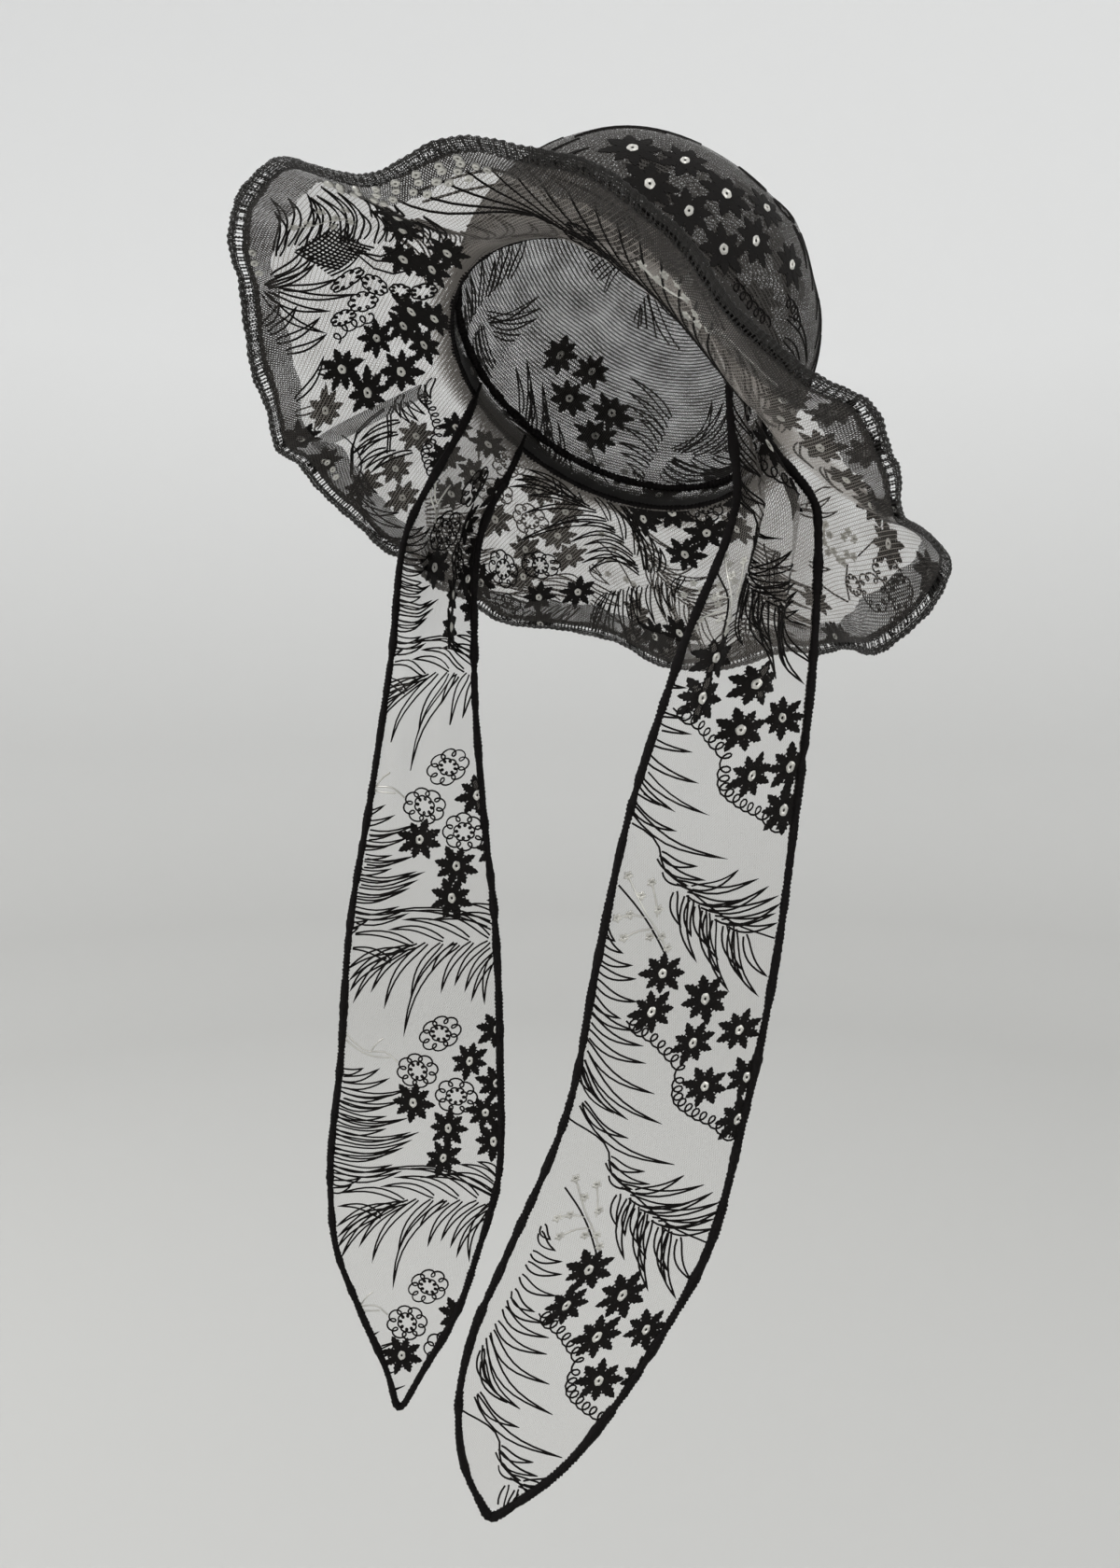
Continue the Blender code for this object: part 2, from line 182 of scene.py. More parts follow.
BRIM_FOLDS = rows(
    "at spread low high depth",
    [
        (-160, 5, 0.00, 1.50, -0.045),
        (-132, 4, 0.45, 1.70, 0.035),
        (-114, 6, 0.00, 1.10, 0.035),
        (-98, 5, 0.00, 1.30, -0.035),
        (-70, 6, 0.05, 1.10, 0.030),
        (58, 7, 0.00, 1.30, 0.040),
        (92, 7, 0.00, 1.20, -0.035),
        (130, 8, 0.00, 1.40, -0.040),
        (150, 6, 0.00, 1.30, 0.035),
    ],
)
FALL_COLUMNS = "down left back breadth pleat cup turn"
TIE_LEFT_FALL = rows(
    FALL_COLUMNS,
    [
        (0.00, 0.000, 0.000, 0.48, 0.030, 0.00, 86),
        (0.10, 0.010, 0.016, 0.48, 0.075, 0.02, 66),
        (0.235, -0.009, 0.003, 0.70, 0.060, 0.04, 48),
        (0.37, -0.032, -0.013, 0.85, 0.025, 0.06, 40),
        (0.50, -0.050, -0.025, 0.91, 0.006, 0.06, 36),
        (0.635, -0.071, -0.041, 0.91, 0.000, 0.04, 33),
        (0.77, -0.109, -0.068, 1.01, 0.000, -0.02, 31),
        (0.835, -0.135, -0.086, 0.96, 0.000, -0.03, 30),
        (0.90, -0.157, -0.102, 0.80, 0.000, -0.03, 30),
        (0.967, -0.177, -0.115, 0.43, 0.000, -0.01, 30),
        (1.00, -0.188, -0.123, 0.08, 0.000, 0.00, 30),
    ],
)
TIE_RIGHT_FALL = rows(
    FALL_COLUMNS,
    [
        (0.00, 0.000, 0.000, 0.48, 0.030, 0.00, 94),
        (0.10, -0.050, -0.020, 0.46, 0.075, 0.02, 64),
        (0.235, -0.064, -0.028, 0.50, 0.075, 0.04, 48),
        (0.37, -0.070, -0.032, 0.66, 0.040, 0.05, 42),
        (0.50, -0.074, -0.035, 0.86, 0.010, 0.05, 37),
        (0.635, -0.076, -0.038, 0.95, 0.000, 0.03, 34),
        (0.77, -0.083, -0.043, 1.00, 0.000, -0.02, 33),
        (0.835, -0.088, -0.047, 0.86, 0.000, -0.03, 34),
        (0.90, -0.087, -0.047, 0.60, 0.000, -0.03, 34),
        (0.967, -0.091, -0.050, 0.23, 0.000, -0.01, 35),
        (1.00, -0.095, -0.053, 0.08, 0.000, 0.00, 35),
    ],
)

# %% [markdown]
# A table of a few rows is easy to read and to correct, but cloth has no corners. So each column is read
# as a smooth curve through its rows. A few small functions say how a fold fades, where the oval of the
# head opening runs, and how the whole hat leans back.

# %% Curves through the tables


def through(places, values, wanted):
    """A smooth curve through (places, values), read at wanted: cubic pieces with averaged slopes."""
    places, values, wanted = (np.asarray(x, float) for x in (places, values, wanted))
    steps = np.diff(places)
    rises = np.diff(values) / steps
    inner = (rises[:-1] * steps[1:] + rises[1:] * steps[:-1]) / (steps[:-1] + steps[1:])
    slopes = np.concatenate([[rises[0]], inner, [rises[-1]]])
    cell = np.clip(np.searchsorted(places, wanted) - 1, 0, len(steps) - 1)
    width = steps[cell]
    t = np.clip((wanted - places[cell]) / width, 0.0, 1.0)
    start, end = values[cell], values[cell + 1]
    return (
        (1 + 2 * t) * (1 - t) ** 2 * start
        + t * (1 - t) ** 2 * width * slopes[cell]
        + t * t * (3 - 2 * t) * end
        - t * t * (1 - t) * width * slopes[cell + 1]
    )


def round_the_brim(column, at):
    """A column of BRIM_WAVES as a closed curve, read at the angles at, in radians."""
    places = [row["at"] for row in BRIM_WAVES]
    values = [row[column] for row in BRIM_WAVES]
    margin = 4
    places = [p - 360 for p in places[-margin:]] + places + [p + 360 for p in places[:margin]]
    values = values[-margin:] + values + values[:margin]
    return through(places, values, (np.degrees(at) + 180.0) % 360.0 - 180.0)


def down_the_tie(fall, column, down):
    return through([row["down"] for row in fall], [row[column] for row in fall], down)


def smooth_step(x):
    x = np.clip(x, 0.0, 1.0)
    return x * x * (3 - 2 * x)


def opening_radius(at):
    """Distance from the crown's axis to the oval of the head opening."""
    across = np.cos(at) / (OPENING_WIDTH / 2)
    along = np.sin(at) / (OPENING_LENGTH / 2)
    return 1.0 / np.sqrt(across**2 + along**2)


def off_line(fold, at):
    """How strongly a fold is felt at the angle at: 1 on its line, fading over its spread."""
    turn = (np.degrees(at) - fold["at"] + 180.0) % 360.0 - 180.0
    return np.exp(-((turn / fold["spread"]) ** 2))


def along_line(fold, share):
    """How strongly a fold is felt on its way from low to high."""
    way = np.clip((share - fold["low"]) / (fold["high"] - fold["low"]), 0.0, 1.0)
    return np.sin(math.pi * way) ** 2


def worn(x, y, height):
    """From the hat's own axes, with the opening level, to the leaning hat."""
    lean, rise = math.sin(WORN_TILT), math.cos(WORN_TILT)
    x, y, height = np.broadcast_arrays(x, y, height)
    return np.stack([x, y * rise + height * lean, height * rise - y * lean], axis=-1)


print("opening", round(2 * opening_radius(0.0), 3), "by", round(2 * opening_radius(math.pi / 2), 3))

# %% [markdown]
# Three surface functions give the crown, the brim and a tie. Each turns two numbers, such as the angle
# round the head and the share of the way out, into a point. Cloth, seams and stitches all ask the same
# functions where they are, so nothing has to be fitted afterwards.

# %% Surfaces


def crown_point(at, up):
    """A point of the crown: up is 0 at the opening and 1 at the top centre."""
    angle = up * math.pi / 2
    power = 2.0 / CROWN_SQUARENESS
    inward = np.maximum(np.cos(angle), 0.0) ** power
    height = np.sin(angle) ** power
    swell = CROWN_SWELL * np.sin(math.pi * np.clip(height, 0, 1)) * inward
    for fold in CROWN_FOLDS:
        swell = swell + fold["depth"] * off_line(fold, at) * along_line(fold, up)
    radius = (opening_radius(at) * inward + swell * OPENING_WIDTH / 2) * (up < 1.0)
    slump = CROWN_HEIGHT * height**2
    x = radius * np.cos(at) + CROWN_SLUMP_LEFT * slump
    y = radius * np.sin(at) + CROWN_SLUMP_BACK * slump
    return worn(x, y, height * CROWN_HEIGHT)


def brim_point(at, across):
    """A point of the brim: across is 0 at the opening and 1 at the outer edge."""
    middle = 2 * across * (1 - across)
    edge = across**2
    out = middle * round_the_brim("sag_out", at) + edge * round_the_brim("out", at)
    drop = middle * round_the_brim("sag_drop", at) + edge * round_the_brim("drop", at)
    uneven = 1.0 - RUFFLE_VARIETY + RUFFLE_VARIETY * np.sin(5 * at + 1.0)
    ruffle = RUFFLE_DEPTH * across**2 * np.sin(RUFFLES * at) * uneven
    for fold in BRIM_FOLDS:
        drop = drop - fold["depth"] * off_line(fold, at) * along_line(fold, across)
    below = CLOTH + JOIN_GAP
    radius = opening_radius(at) + BRIM_WIDTH * out
    return worn(radius * np.cos(at), radius * np.sin(at), ruffle - below - BRIM_WIDTH * drop)


def tie_point(side, across, down):
    """A point of a tie: side is 1 for the wearer's left and -1 for the right, across runs from -1 at
    its front edge to 1 at its back edge, and down from 0 at the tuck to 1 at the point."""
    across, down = np.broadcast_arrays(across, down)
    fall = TIE_LEFT_FALL if side > 0 else TIE_RIGHT_FALL
    centre_at = TIE_AT if side > 0 else math.pi - TIE_AT
    tucked = CLOTH / 2 + JOIN_GAP + TIE_EDGE / 2
    at = centre_at + side * across * TIE_ARC
    length = down * TIE_LENGTH
    seam = opening_radius(at) - tucked
    sewn = worn(seam * np.cos(at), seam * np.sin(at), TIE_TUCK - length)
    seam = opening_radius(centre_at) - tucked
    middle = worn(seam * math.cos(centre_at), seam * math.sin(centre_at), TIE_TUCK)
    turn = np.radians(down_the_tie(fall, "turn", down))
    left = TIE_LENGTH * down_the_tie(fall, "left", down)
    back = TIE_LENGTH * down_the_tie(fall, "back", down)
    reach = across * TIE_WIDTH / 2 * down_the_tie(fall, "breadth", down)
    pleats = down_the_tie(fall, "pleat", down) * np.sin(math.pi * PLEATS * across) * (1 - across**4)
    forward = TIE_WIDTH * (pleats + down_the_tie(fall, "cup", down) * (1 - across**2))
    x = middle[0] + left + reach * np.cos(turn) + forward * np.sin(turn)
    y = middle[1] + back + reach * np.sin(turn) - forward * np.cos(turn)
    hung = np.stack([x, y, middle[2] - length], axis=-1)
    blend = smooth_step((length - 2 * TIE_TUCK) / (TIE_DROP_IN * TIE_LENGTH))[..., None]
    return sewn * (1 - blend) + hung * blend


def lifted(surface, first, second, lift):
    """Points of a surface, moved off it along its normal by lift, in metres."""
    step = 1e-3
    first, second = np.broadcast_arrays(np.asarray(first, float), np.asarray(second, float))
    near = np.clip(second, 2 * step, 1 - 2 * step)
    one = surface(first + step, near) - surface(first - step, near)
    two = surface(first, near + step) - surface(first, near - step)
    normal = np.cross(one, two)
    normal /= np.maximum(np.linalg.norm(normal, axis=-1, keepdims=True), 1e-12)
    return surface(first, second) + np.asarray(lift)[..., None] * normal


print("crown top", np.round(crown_point(0.0, 1.0), 3))

# %% [markdown]
# Crown and brim are two layers of net each, and it is the small gap between the layers that makes the
# watery moire of the real thing. The outer layer keeps to the solid's outside and the inner one to its
# inside, with a slow wander so that they never run quite side by side.

# %% Layers
LAYER_GAP = 0.0011
LAYER_WANDER = 0.0004


def wander(at, share, phase):
    return LAYER_WANDER * np.sin(7 * at + 9 * share + phase) * np.sin(4 * at - 5 * share + 2 * phase)


def crown_layer(outer):
    side = 1.0 if outer else -1.0

    def surface(at, up):
        fade = smooth_step(up / 0.08) * (1 - smooth_step((up - 0.9) / 0.1))
        return lifted(crown_point, at, up, side * LAYER_GAP / 2 + fade * wander(at, up, side))

    return surface


def brim_layer(upper):
    side = -1.0 if upper else 1.0

    def surface(at, across):
        fade = smooth_step(across / 0.1) * (1 - smooth_step((across - 0.8) / 0.2))
        return lifted(brim_point, at, across, side * LAYER_GAP / 2 + fade * wander(at, across, side))

    return surface


def tie_layer(side):
    return lambda across, down: tie_point(side, across, down)


crown_outer, crown_inner = crown_layer(True), crown_layer(False)
brim_upper, brim_under = brim_layer(True), brim_layer(False)
tie_left_cloth, tie_right_cloth = tie_layer(1), tie_layer(-1)
print("layers", LAYER_GAP * 1000, "mm apart")

# %% [markdown]
# A flat pattern has to know where it is on each cloth. Three charts do that. The brim is thought of as a
# flat ring, as it was cut, and the tie as a flat strip. The crown is a band round the side with a round
# top. A chart takes millimetres on the flat cloth and gives the two numbers of the surface function.

# %% Charts from flat cloth to surface
MM = 0.001
RING_RADIUS = 90.0


def brim_chart(x, y):
    return np.arctan2(y, x), (np.hypot(x, y) - RING_RADIUS) / (BRIM_WIDTH / MM)


GATHER_START = 0.19  # above this share of its length a tie's whole width is gathered


def tie_chart(side):
    fall = TIE_LEFT_FALL if side > 0 else TIE_RIGHT_FALL
    gather_end = 0.24 if side > 0 else 0.30

    def chart(x, y):
        down = np.clip(np.asarray(y, float) * MM / TIE_LENGTH, 0.0, 1.0)
        gathered = 1 - smooth_step((down - GATHER_START) / (gather_end - GATHER_START))
        breadth = down_the_tie(fall, "breadth", down)
        half = TIE_WIDTH / 2 * (breadth + (1 - breadth) * gathered)
        return x * MM / half, down

    return chart


def crown_rise():
    """The way up the crown's side, in millimetres, for even steps of up."""
    up = np.linspace(0.0, 1.0, 101)
    line = crown_point(math.pi, up)
    return up, np.concatenate([[0.0], np.cumsum(np.linalg.norm(np.diff(line, axis=0), axis=1))]) / MM


RISE_UP, RISE_MM = crown_rise()


def crown_side_chart(x, y):
    return x / RING_RADIUS, np.interp(y, RISE_MM, RISE_UP)


def crown_top_chart(x, y):
    at = np.arctan2(y, x)
    inward = np.clip(np.hypot(x, y) * MM / opening_radius(at), 0.0, 1.0)
    return at, np.arccos(inward ** (CROWN_SQUARENESS / 2)) / (math.pi / 2)


print("crown is", round(RISE_MM[-1]), "mm from seam to top centre")

# %% [markdown]
# A material is a small graph of nodes. A few helpers keep the recipes short: one starts a material, one
# adds a node and wires its inputs, three add arithmetic, noise and a blend of two colours, and the last
# ends the graph with a shader.

# %% Helpers for node materials


def new_material(name):
    material = bpy.data.materials.new(name)
    material.use_nodes = True
    tree = material.node_tree
    tree.nodes.clear()
    return material, tree


def node(tree, kind, inputs=(), **settings):
    made = tree.nodes.new("ShaderNode" + kind)
    for key, value in settings.items():
        setattr(made, key, value)
    for key, value in dict(inputs).items():
        socket = made.inputs[key]
        if isinstance(value, bpy.types.NodeSocket):
            tree.links.new(value, socket)
        else:
            socket.default_value = value
    return made


def maths(tree, operation, *values):
    return node(tree, "Math", dict(enumerate(values)), operation=operation).outputs[0]


def noise(tree, place, scale):
    return node(tree, "TexNoise", {"Vector": place, "Scale": scale, "Detail": 2.0}).outputs[0]


def blend(tree, share, first, second):
    """Two colours, blended by share."""
    shade = node(tree, "ValToRGB", {0: share})
    for element, colour in zip(shade.color_ramp.elements, (first, second)):
        element.color = (*colour, 1.0)
    return shade.outputs[0]


def stripes(tree, value, spacing):
    """How far a value is from the nearest of its even lines: 0 on a line and 0.5 between two."""
    return maths(tree, "PINGPONG", maths(tree, "DIVIDE", value, spacing), 0.5)


def shaded(tree, inputs):
    """Ends a material with a shader of these inputs."""
    shader = node(tree, "BsdfPrincipled", inputs)
    node(tree, "OutputMaterial", {"Surface": shader.outputs[0]})


print("material helpers are ready")

# %% [markdown]
# The net itself is a material. Modelling every thread would take millions of faces, and an image would
# blur close up. So two families of parallel lines cross in a diamond net, and a point is thread or hole
# by how far it is from the nearest line. It reads the cloth's own UV map, which is laid out in metres, so
# the net stays square to the cloth in every fold. A slow noise bends the threads a little, as a soft net
# is never true. Two layers of net give a moire of themselves, but a finer one than the real net's, so two
# of the nets also carry straight rows of thread, which draw its broad lines. Near a seam real net is
# gathered, so the threads grow thicker there. Their colour is also darkened there, as painted shade of
# the gathers.

# %% Net material
CELL = 0.0013
LEAN = 0.6
SQUASH = 0.86
WARP = 0.004
# Painted shade: how dark the thread colour is made where the net is gathered.
GATHER_SHADE = 0.35


def gather_share(tree, cloth, near, far, straight):
    """How gathered the net is: 1 up to near and 0 beyond far, in metres, measured straight down the
    cloth or from its centre."""
    if straight:
        away = maths(tree, "ABSOLUTE", node(tree, "SeparateXYZ", {0: cloth}).outputs[1])
    else:
        away = node(tree, "VectorMath", {0: cloth}, operation="LENGTH").outputs["Value"]
    return node(
        tree,
        "MapRange",
        {"Value": away, "From Min": near, "From Max": far, "To Min": 1.0, "To Max": 0.0},
        interpolation_type="SMOOTHSTEP",
    ).outputs[0]


def net_material(name, colour, thread, turn, cell=CELL, patchy=0.0, gathered=None, ribs=0.0):
    """A diamond net. colour is the thread's, thread the thread's share of a cell's width, turn the
    net's angle on the cloth, patchy how much the net thickens in places, and ribs how many straight
    rows of thread cross a cell. gathered says how much the net thickens at a seam, and then where, as
    gather_share takes it. There the thread's colour is also darkened, as painted shade of the gathers."""
    material, tree = new_material(name)
    cloth = node(tree, "UVMap", uv_map="cloth").outputs[0]
    slow = node(
        tree,
        "TexNoise",
        {"Vector": cloth, "W": 10 * turn, "Scale": 22.0, "Detail": 1.0},
        noise_dimensions="4D",
    ).outputs["Color"]
    bend = node(tree, "VectorMath", {0: slow, 1: (0.5, 0.5, 0.5)}, operation="SUBTRACT").outputs[0]
    bent = node(tree, "VectorMath", {0: bend, "Scale": WARP}, operation="SCALE").outputs[0]
    moved = node(tree, "VectorMath", {0: cloth, 1: bent}, operation="ADD").outputs[0]
    turned = node(
        tree,
        "Mapping",
        {"Vector": moved, "Rotation": (0, 0, turn), "Scale": (1 / cell, SQUASH / cell, 1.0)},
    ).outputs[0]
    split = node(tree, "SeparateXYZ", {0: turned})
    across, along = split.outputs[0], split.outputs[1]
    half = thread / 2
    if patchy:
        half = maths(tree, "MULTIPLY_ADD", noise(tree, cloth, 60.0), patchy, thread / 2 - patchy / 2)
    tint = (*colour, 1.0)
    if gathered:
        share = gather_share(tree, cloth, *gathered[1:])
        half = maths(tree, "MULTIPLY_ADD", share, gathered[0], half)
        # Painted shade of the gathers: the thread colour darkens where the net is gathered.
        tint = blend(tree, share, colour, [c * GATHER_SHADE for c in colour])
    leaning = [maths(tree, "MULTIPLY_ADD", along, lean, across) for lean in (LEAN, -LEAN)]
    nearest = maths(tree, "MINIMUM", *[maths(tree, "PINGPONG", line, 0.5) for line in leaning])
    if ribs:
        row = maths(tree, "PINGPONG", maths(tree, "MULTIPLY", along, ribs), 0.5)
        nearest = maths(tree, "MINIMUM", nearest, maths(tree, "MULTIPLY", row, 0.6))
    is_thread = maths(tree, "LESS_THAN", nearest, half)
    shaded(tree, {"Base Color": tint, "Roughness": 0.85, "Sheen Weight": 0.1, "Alpha": is_thread})
    return material


BLACK = (0.006, 0.005, 0.0045)
SEAM_GATHER = (0.18, 0.091, 0.106, False)
CROWN_GATHER = (0.22, 0.004, 0.016, True)
TIE_GATHER = (0.08, 0.05, 0.17, True)
FOLDED_CELL = 0.0011
CROWN_BLACK = (0.034, 0.030, 0.026)
BRIM_GREY = (0.34, 0.31, 0.28)
ROWS = 0.7
crown_net_material = net_material(
    "crown net", CROWN_BLACK, 0.21, 0.1, patchy=0.12, gathered=CROWN_GATHER, ribs=ROWS
)
crown_inner_material = net_material(
    "crown inner net", CROWN_BLACK, 0.25, 0.44, patchy=0.12, gathered=CROWN_GATHER
)
brim_net_material = net_material("brim net", BRIM_GREY, 0.11, 0.0, patchy=0.08, gathered=SEAM_GATHER)
brim_under_material = net_material(
    "brim under net", BRIM_GREY, 0.085, 0.34, patchy=0.06, gathered=SEAM_GATHER, ribs=ROWS
)
tie_net_material = net_material("tie net", (0.36, 0.33, 0.30), 0.07, 0.3, gathered=TIE_GATHER)
# Doubled net for the fold band and the crease: the doubling is real, and the near-black thread colour is
# painted shade of the fold.
folded_net_and_shade_material = net_material(
    "folded net with painted shade", (0.030, 0.026, 0.023), 0.44, 0.2, cell=FOLDED_CELL, patchy=0.3
)
print("net cells", CELL * 1000, "mm")

# %% [markdown]
# A cloth is a bmesh grid whose vertices are moved onto its surface function. The grid also writes the
# flat cloth's own coordinates into a UV map named cloth before the ends of a ring are joined, so the
# seam gets no smear.

# %% Laying cloth


def full_turn(share):
    return (share * 2.0 - 1.0) * math.pi


def smooth_mesh(name, bm):
    mesh = bpy.data.meshes.new(name)
    bm.to_mesh(mesh)
    bm.free()
    mesh.shade_smooth()
    return mesh


def lay_cloth(name, columns, rows_, place, flat, material):
    """A grid on a surface. place and flat take two arrays of shares and give points and flat metres."""
    bm = bmesh.new()
    bmesh.ops.create_grid(bm, x_segments=columns, y_segments=rows_, size=0.5)
    spots = np.array([v.co[:2] for v in bm.verts]) + 0.5
    flat_spots = flat(spots[:, 0], spots[:, 1])
    uv = bm.loops.layers.uv.new("cloth")
    for face in bm.faces:
        for loop in face.loops:
            loop[uv].uv = flat_spots[loop.vert.index]
    for vertex, spot in zip(bm.verts, place(spots[:, 0], spots[:, 1])):
        vertex.co = spot
    bmesh.ops.remove_doubles(bm, verts=bm.verts, dist=1e-6)
    return add_piece(name, smooth_mesh(name, bm), material)


def add_piece(name, mesh, material):
    piece = bpy.data.objects.new(name, mesh)
    mesh.materials.append(material)
    bpy.context.scene.collection.objects.link(piece)
    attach(piece, "root")
    return piece


def ring_flat(s, t):
    """The brim's flat ring, in metres."""
    radius = RING_RADIUS * MM + t * BRIM_WIDTH
    return np.stack([radius * np.cos(full_turn(s)), radius * np.sin(full_turn(s))], axis=-1)


BRIM_LAST = 1.0 - 0.7 * HEM_WIDTH / BRIM_WIDTH


def brim_cloth(name, surface, material, direction):
    return lay_cloth(
        name,
        360,
        28,
        lambda s, t: surface(full_turn(direction * s + (direction < 0)), t * BRIM_LAST),
        lambda s, t: ring_flat(direction * s + (direction < 0), t * BRIM_LAST),
        material,
    )


brim_net = brim_cloth("brim_net", brim_upper, brim_net_material, -1)
brim_net_under = brim_cloth("brim_net_under", brim_under, brim_under_material, 1)
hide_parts("brim")
print("brim", len(brim_net.data.polygons), "faces")

# %% [markdown]
# The crown's net is cut and gathered to fit a head. Here it is a grid in which one way runs round the
# side and the other up to the top centre, where the last row of vertices is merged into one.

# %% Crown cloth


def crown_flat(s, t):
    """Round the side and up it, in metres, with the top centre folded in."""
    rise = np.interp(t, RISE_UP, RISE_MM) * MM
    return np.stack([full_turn(s) * RING_RADIUS * MM, rise], axis=-1)


def crown_cloth(name, surface, material):
    return lay_cloth(name, 220, 56, lambda s, t: surface(full_turn(s), t), crown_flat, material)


crown_net = crown_cloth("crown_net", crown_outer, crown_net_material)
crown_net_inner = crown_cloth("crown_net_inner", crown_inner, crown_inner_material)
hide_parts("crown")
print("crown", len(crown_net.data.polygons), "faces")

# %% [markdown]
# The ties are a single layer, nearly clear, and end in a thick black rolled edge. The net reaches under
# the edge, so the grid stops at the middle of the cord.

# %% Tie cloth
TIE_STOP = 1.0 - TIE_EDGE / TIE_LENGTH


def edge_share(side, down):
    """The share of the tie's half width that half of its rolled edge takes."""
    fall = TIE_LEFT_FALL if side > 0 else TIE_RIGHT_FALL
    return np.minimum(TIE_EDGE / TIE_WIDTH / down_the_tie(fall, "breadth", down), 0.5)


def tie_cloth(name, side, surface):
    def place(s, t):
        down = t * TIE_STOP
        return surface((2 * s - 1) * (1 - edge_share(side, down)), down)

    def flat(s, t):
        return np.stack([(s - 0.5) * TIE_WIDTH, -t * TIE_LENGTH], axis=-1)

    return lay_cloth(name, 44, 220, place, flat, tie_net_material)


tie_left_net = tie_cloth("tie_left_net", 1, tie_left_cloth)
tie_right_net = tie_cloth("tie_right_net", -1, tie_right_cloth)
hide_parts("tie_left")
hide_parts("tie_right")
print("ties", len(tie_left_net.data.polygons), "faces each")

# %% [markdown]
# Thread is drawn as curves with a round bevel: Blender sweeps the section along them. A curve's points
# can each have their own radius, which gives the lumps of an overlocked edge without any modelling.
# Made a mesh at the end, because the export and the STL files want plain meshes.

# %% Thread from curves


def strands(name, lines, thickness, material, sides=0, radii=None, closed=False):
    """A mesh of thread along lines, which are arrays of points in metres."""
    curve = bpy.data.curves.new(name, "CURVE")
    curve.dimensions = "3D"
    curve.bevel_depth = thickness / 2
    curve.bevel_resolution = sides
    curve.use_fill_caps = True
    for number, line in enumerate(lines):
        spline = curve.splines.new("POLY")
        spline.points.add(len(line) - 1)
        spline.points.foreach_set("co", np.column_stack([line, np.ones(len(line))]).ravel())
        if radii is not None:
            spline.points.foreach_set("radius", radii[number])
        spline.use_cyclic_u = closed
    holder = bpy.data.objects.new(name + " curve", curve)
    bpy.context.scene.collection.objects.link(holder)
    bpy.context.view_layer.update()
    graph = bpy.context.evaluated_depsgraph_get()
    mesh = bpy.data.meshes.new_from_object(holder.evaluated_get(graph))
    mesh.name = name
    bpy.data.objects.remove(holder)
    mesh.materials.clear()
    mesh.shade_smooth()
    return add_piece(name, mesh, material)


def thread_material(name, colour, roughness, metallic=0.0, grain=900.0, specular=0.12):
    """Thread with fine filament bumps and a little colour variation."""
    material, tree = new_material(name)
    place = node(tree, "TexCoord").outputs["Object"]
    fine, broad = noise(tree, place, grain), noise(tree, place, 90.0)
    dark, pale = [c * 0.6 for c in colour], [min(1.0, c * 1.5) for c in colour]
    bump = node(tree, "Bump", {"Height": fine, "Strength": 0.5, "Distance": 0.0004}).outputs[0]
    inputs = {"Base Color": blend(tree, broad, dark, pale), "Roughness": roughness, "Metallic": metallic}
    shaded(tree, {**inputs, "Specular IOR Level": specular, "Normal": bump})
    return material


black_thread = thread_material("black thread", BLACK, 0.65)
edge_thread = thread_material("edge thread", (0.006, 0.005, 0.005), 0.8, grain=700.0)
silver_thread = thread_material(
    "silver thread", (0.62, 0.61, 0.57), 0.35, metallic=0.6, grain=600.0, specular=0.7
)
print("threads", black_thread.name, edge_thread.name, silver_thread.name)

# %% [markdown]
# Each tie is finished with a rolled edge, oversewn so closely that no net shows. One long strand runs
# down the front edge, round the point and up the back, with a lump at each stitch, and grows thin where
# it is sewn into the opening.

# %% Rolled edges of the ties
STITCH = 0.0022


def resampled(line, spacing):
    """The same line with points at even distances."""
    way = np.concatenate([[0.0], np.cumsum(np.linalg.norm(np.diff(line, axis=0), axis=1))])
    even = np.linspace(0.0, way[-1], max(2, int(way[-1] / spacing)))
    return np.column_stack([np.interp(even, way, line[:, axis]) for axis in range(3)])


def rolled_edge(name, side, surface, seed):
    down = np.linspace(0.0, TIE_STOP, 300)
    share = edge_share(side, down)
    front, back = surface(-1 + share, down), surface(1 - share, down)
    around = np.linspace(0, math.pi, 12)[1:-1]
    tip_across = -np.cos(around) * (1 - share[-1])
    tip = surface(tip_across, TIE_STOP + np.sin(around) * (1 - TIE_STOP))
    route = resampled(np.concatenate([front, tip, back[::-1]]), STITCH / 2)
    random = np.random.default_rng(seed)
    count = len(route)
    coarse = np.arange(0, count, 6)
    lumps = np.interp(np.arange(count), coarse, random.normal(0, 1, len(coarse)))
    way = np.arange(count) * STITCH / 2
    stitches = np.sin(2 * math.pi * way / STITCH * 0.98)
    radius = 1 + 0.13 * lumps + 0.12 * stitches + random.normal(0, 0.05, count)
    ends = np.minimum(way, way[-1] - way)
    radius = np.clip(radius, 0.7, 1.35) * (0.4 + 0.6 * smooth_step((ends - 0.004) / 0.012))
    piece = strands(name, [route], TIE_EDGE, edge_thread, 2, [radius])
    return piece


tie_left_rolled = rolled_edge("tie_left_rolled", 1, tie_left_cloth, 3)
tie_right_rolled = rolled_edge("tie_right_rolled", -1, tie_right_cloth, 5)
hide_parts("tie_left_edge")
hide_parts("tie_right_edge")
print("rolled edges", len(tie_left_rolled.data.polygons), "faces each")

# %% [markdown]
# The hem is net turned over twice and gathered, so it shows as a ribbed dark band with small holes in a
# ladder. It is a rounded band swept round the brim's edge: the grid runs round the section, and every
# few millimetres a gather pinches it.

# %% Hem band
GATHERS = 330
HEM_THICK = 0.0026


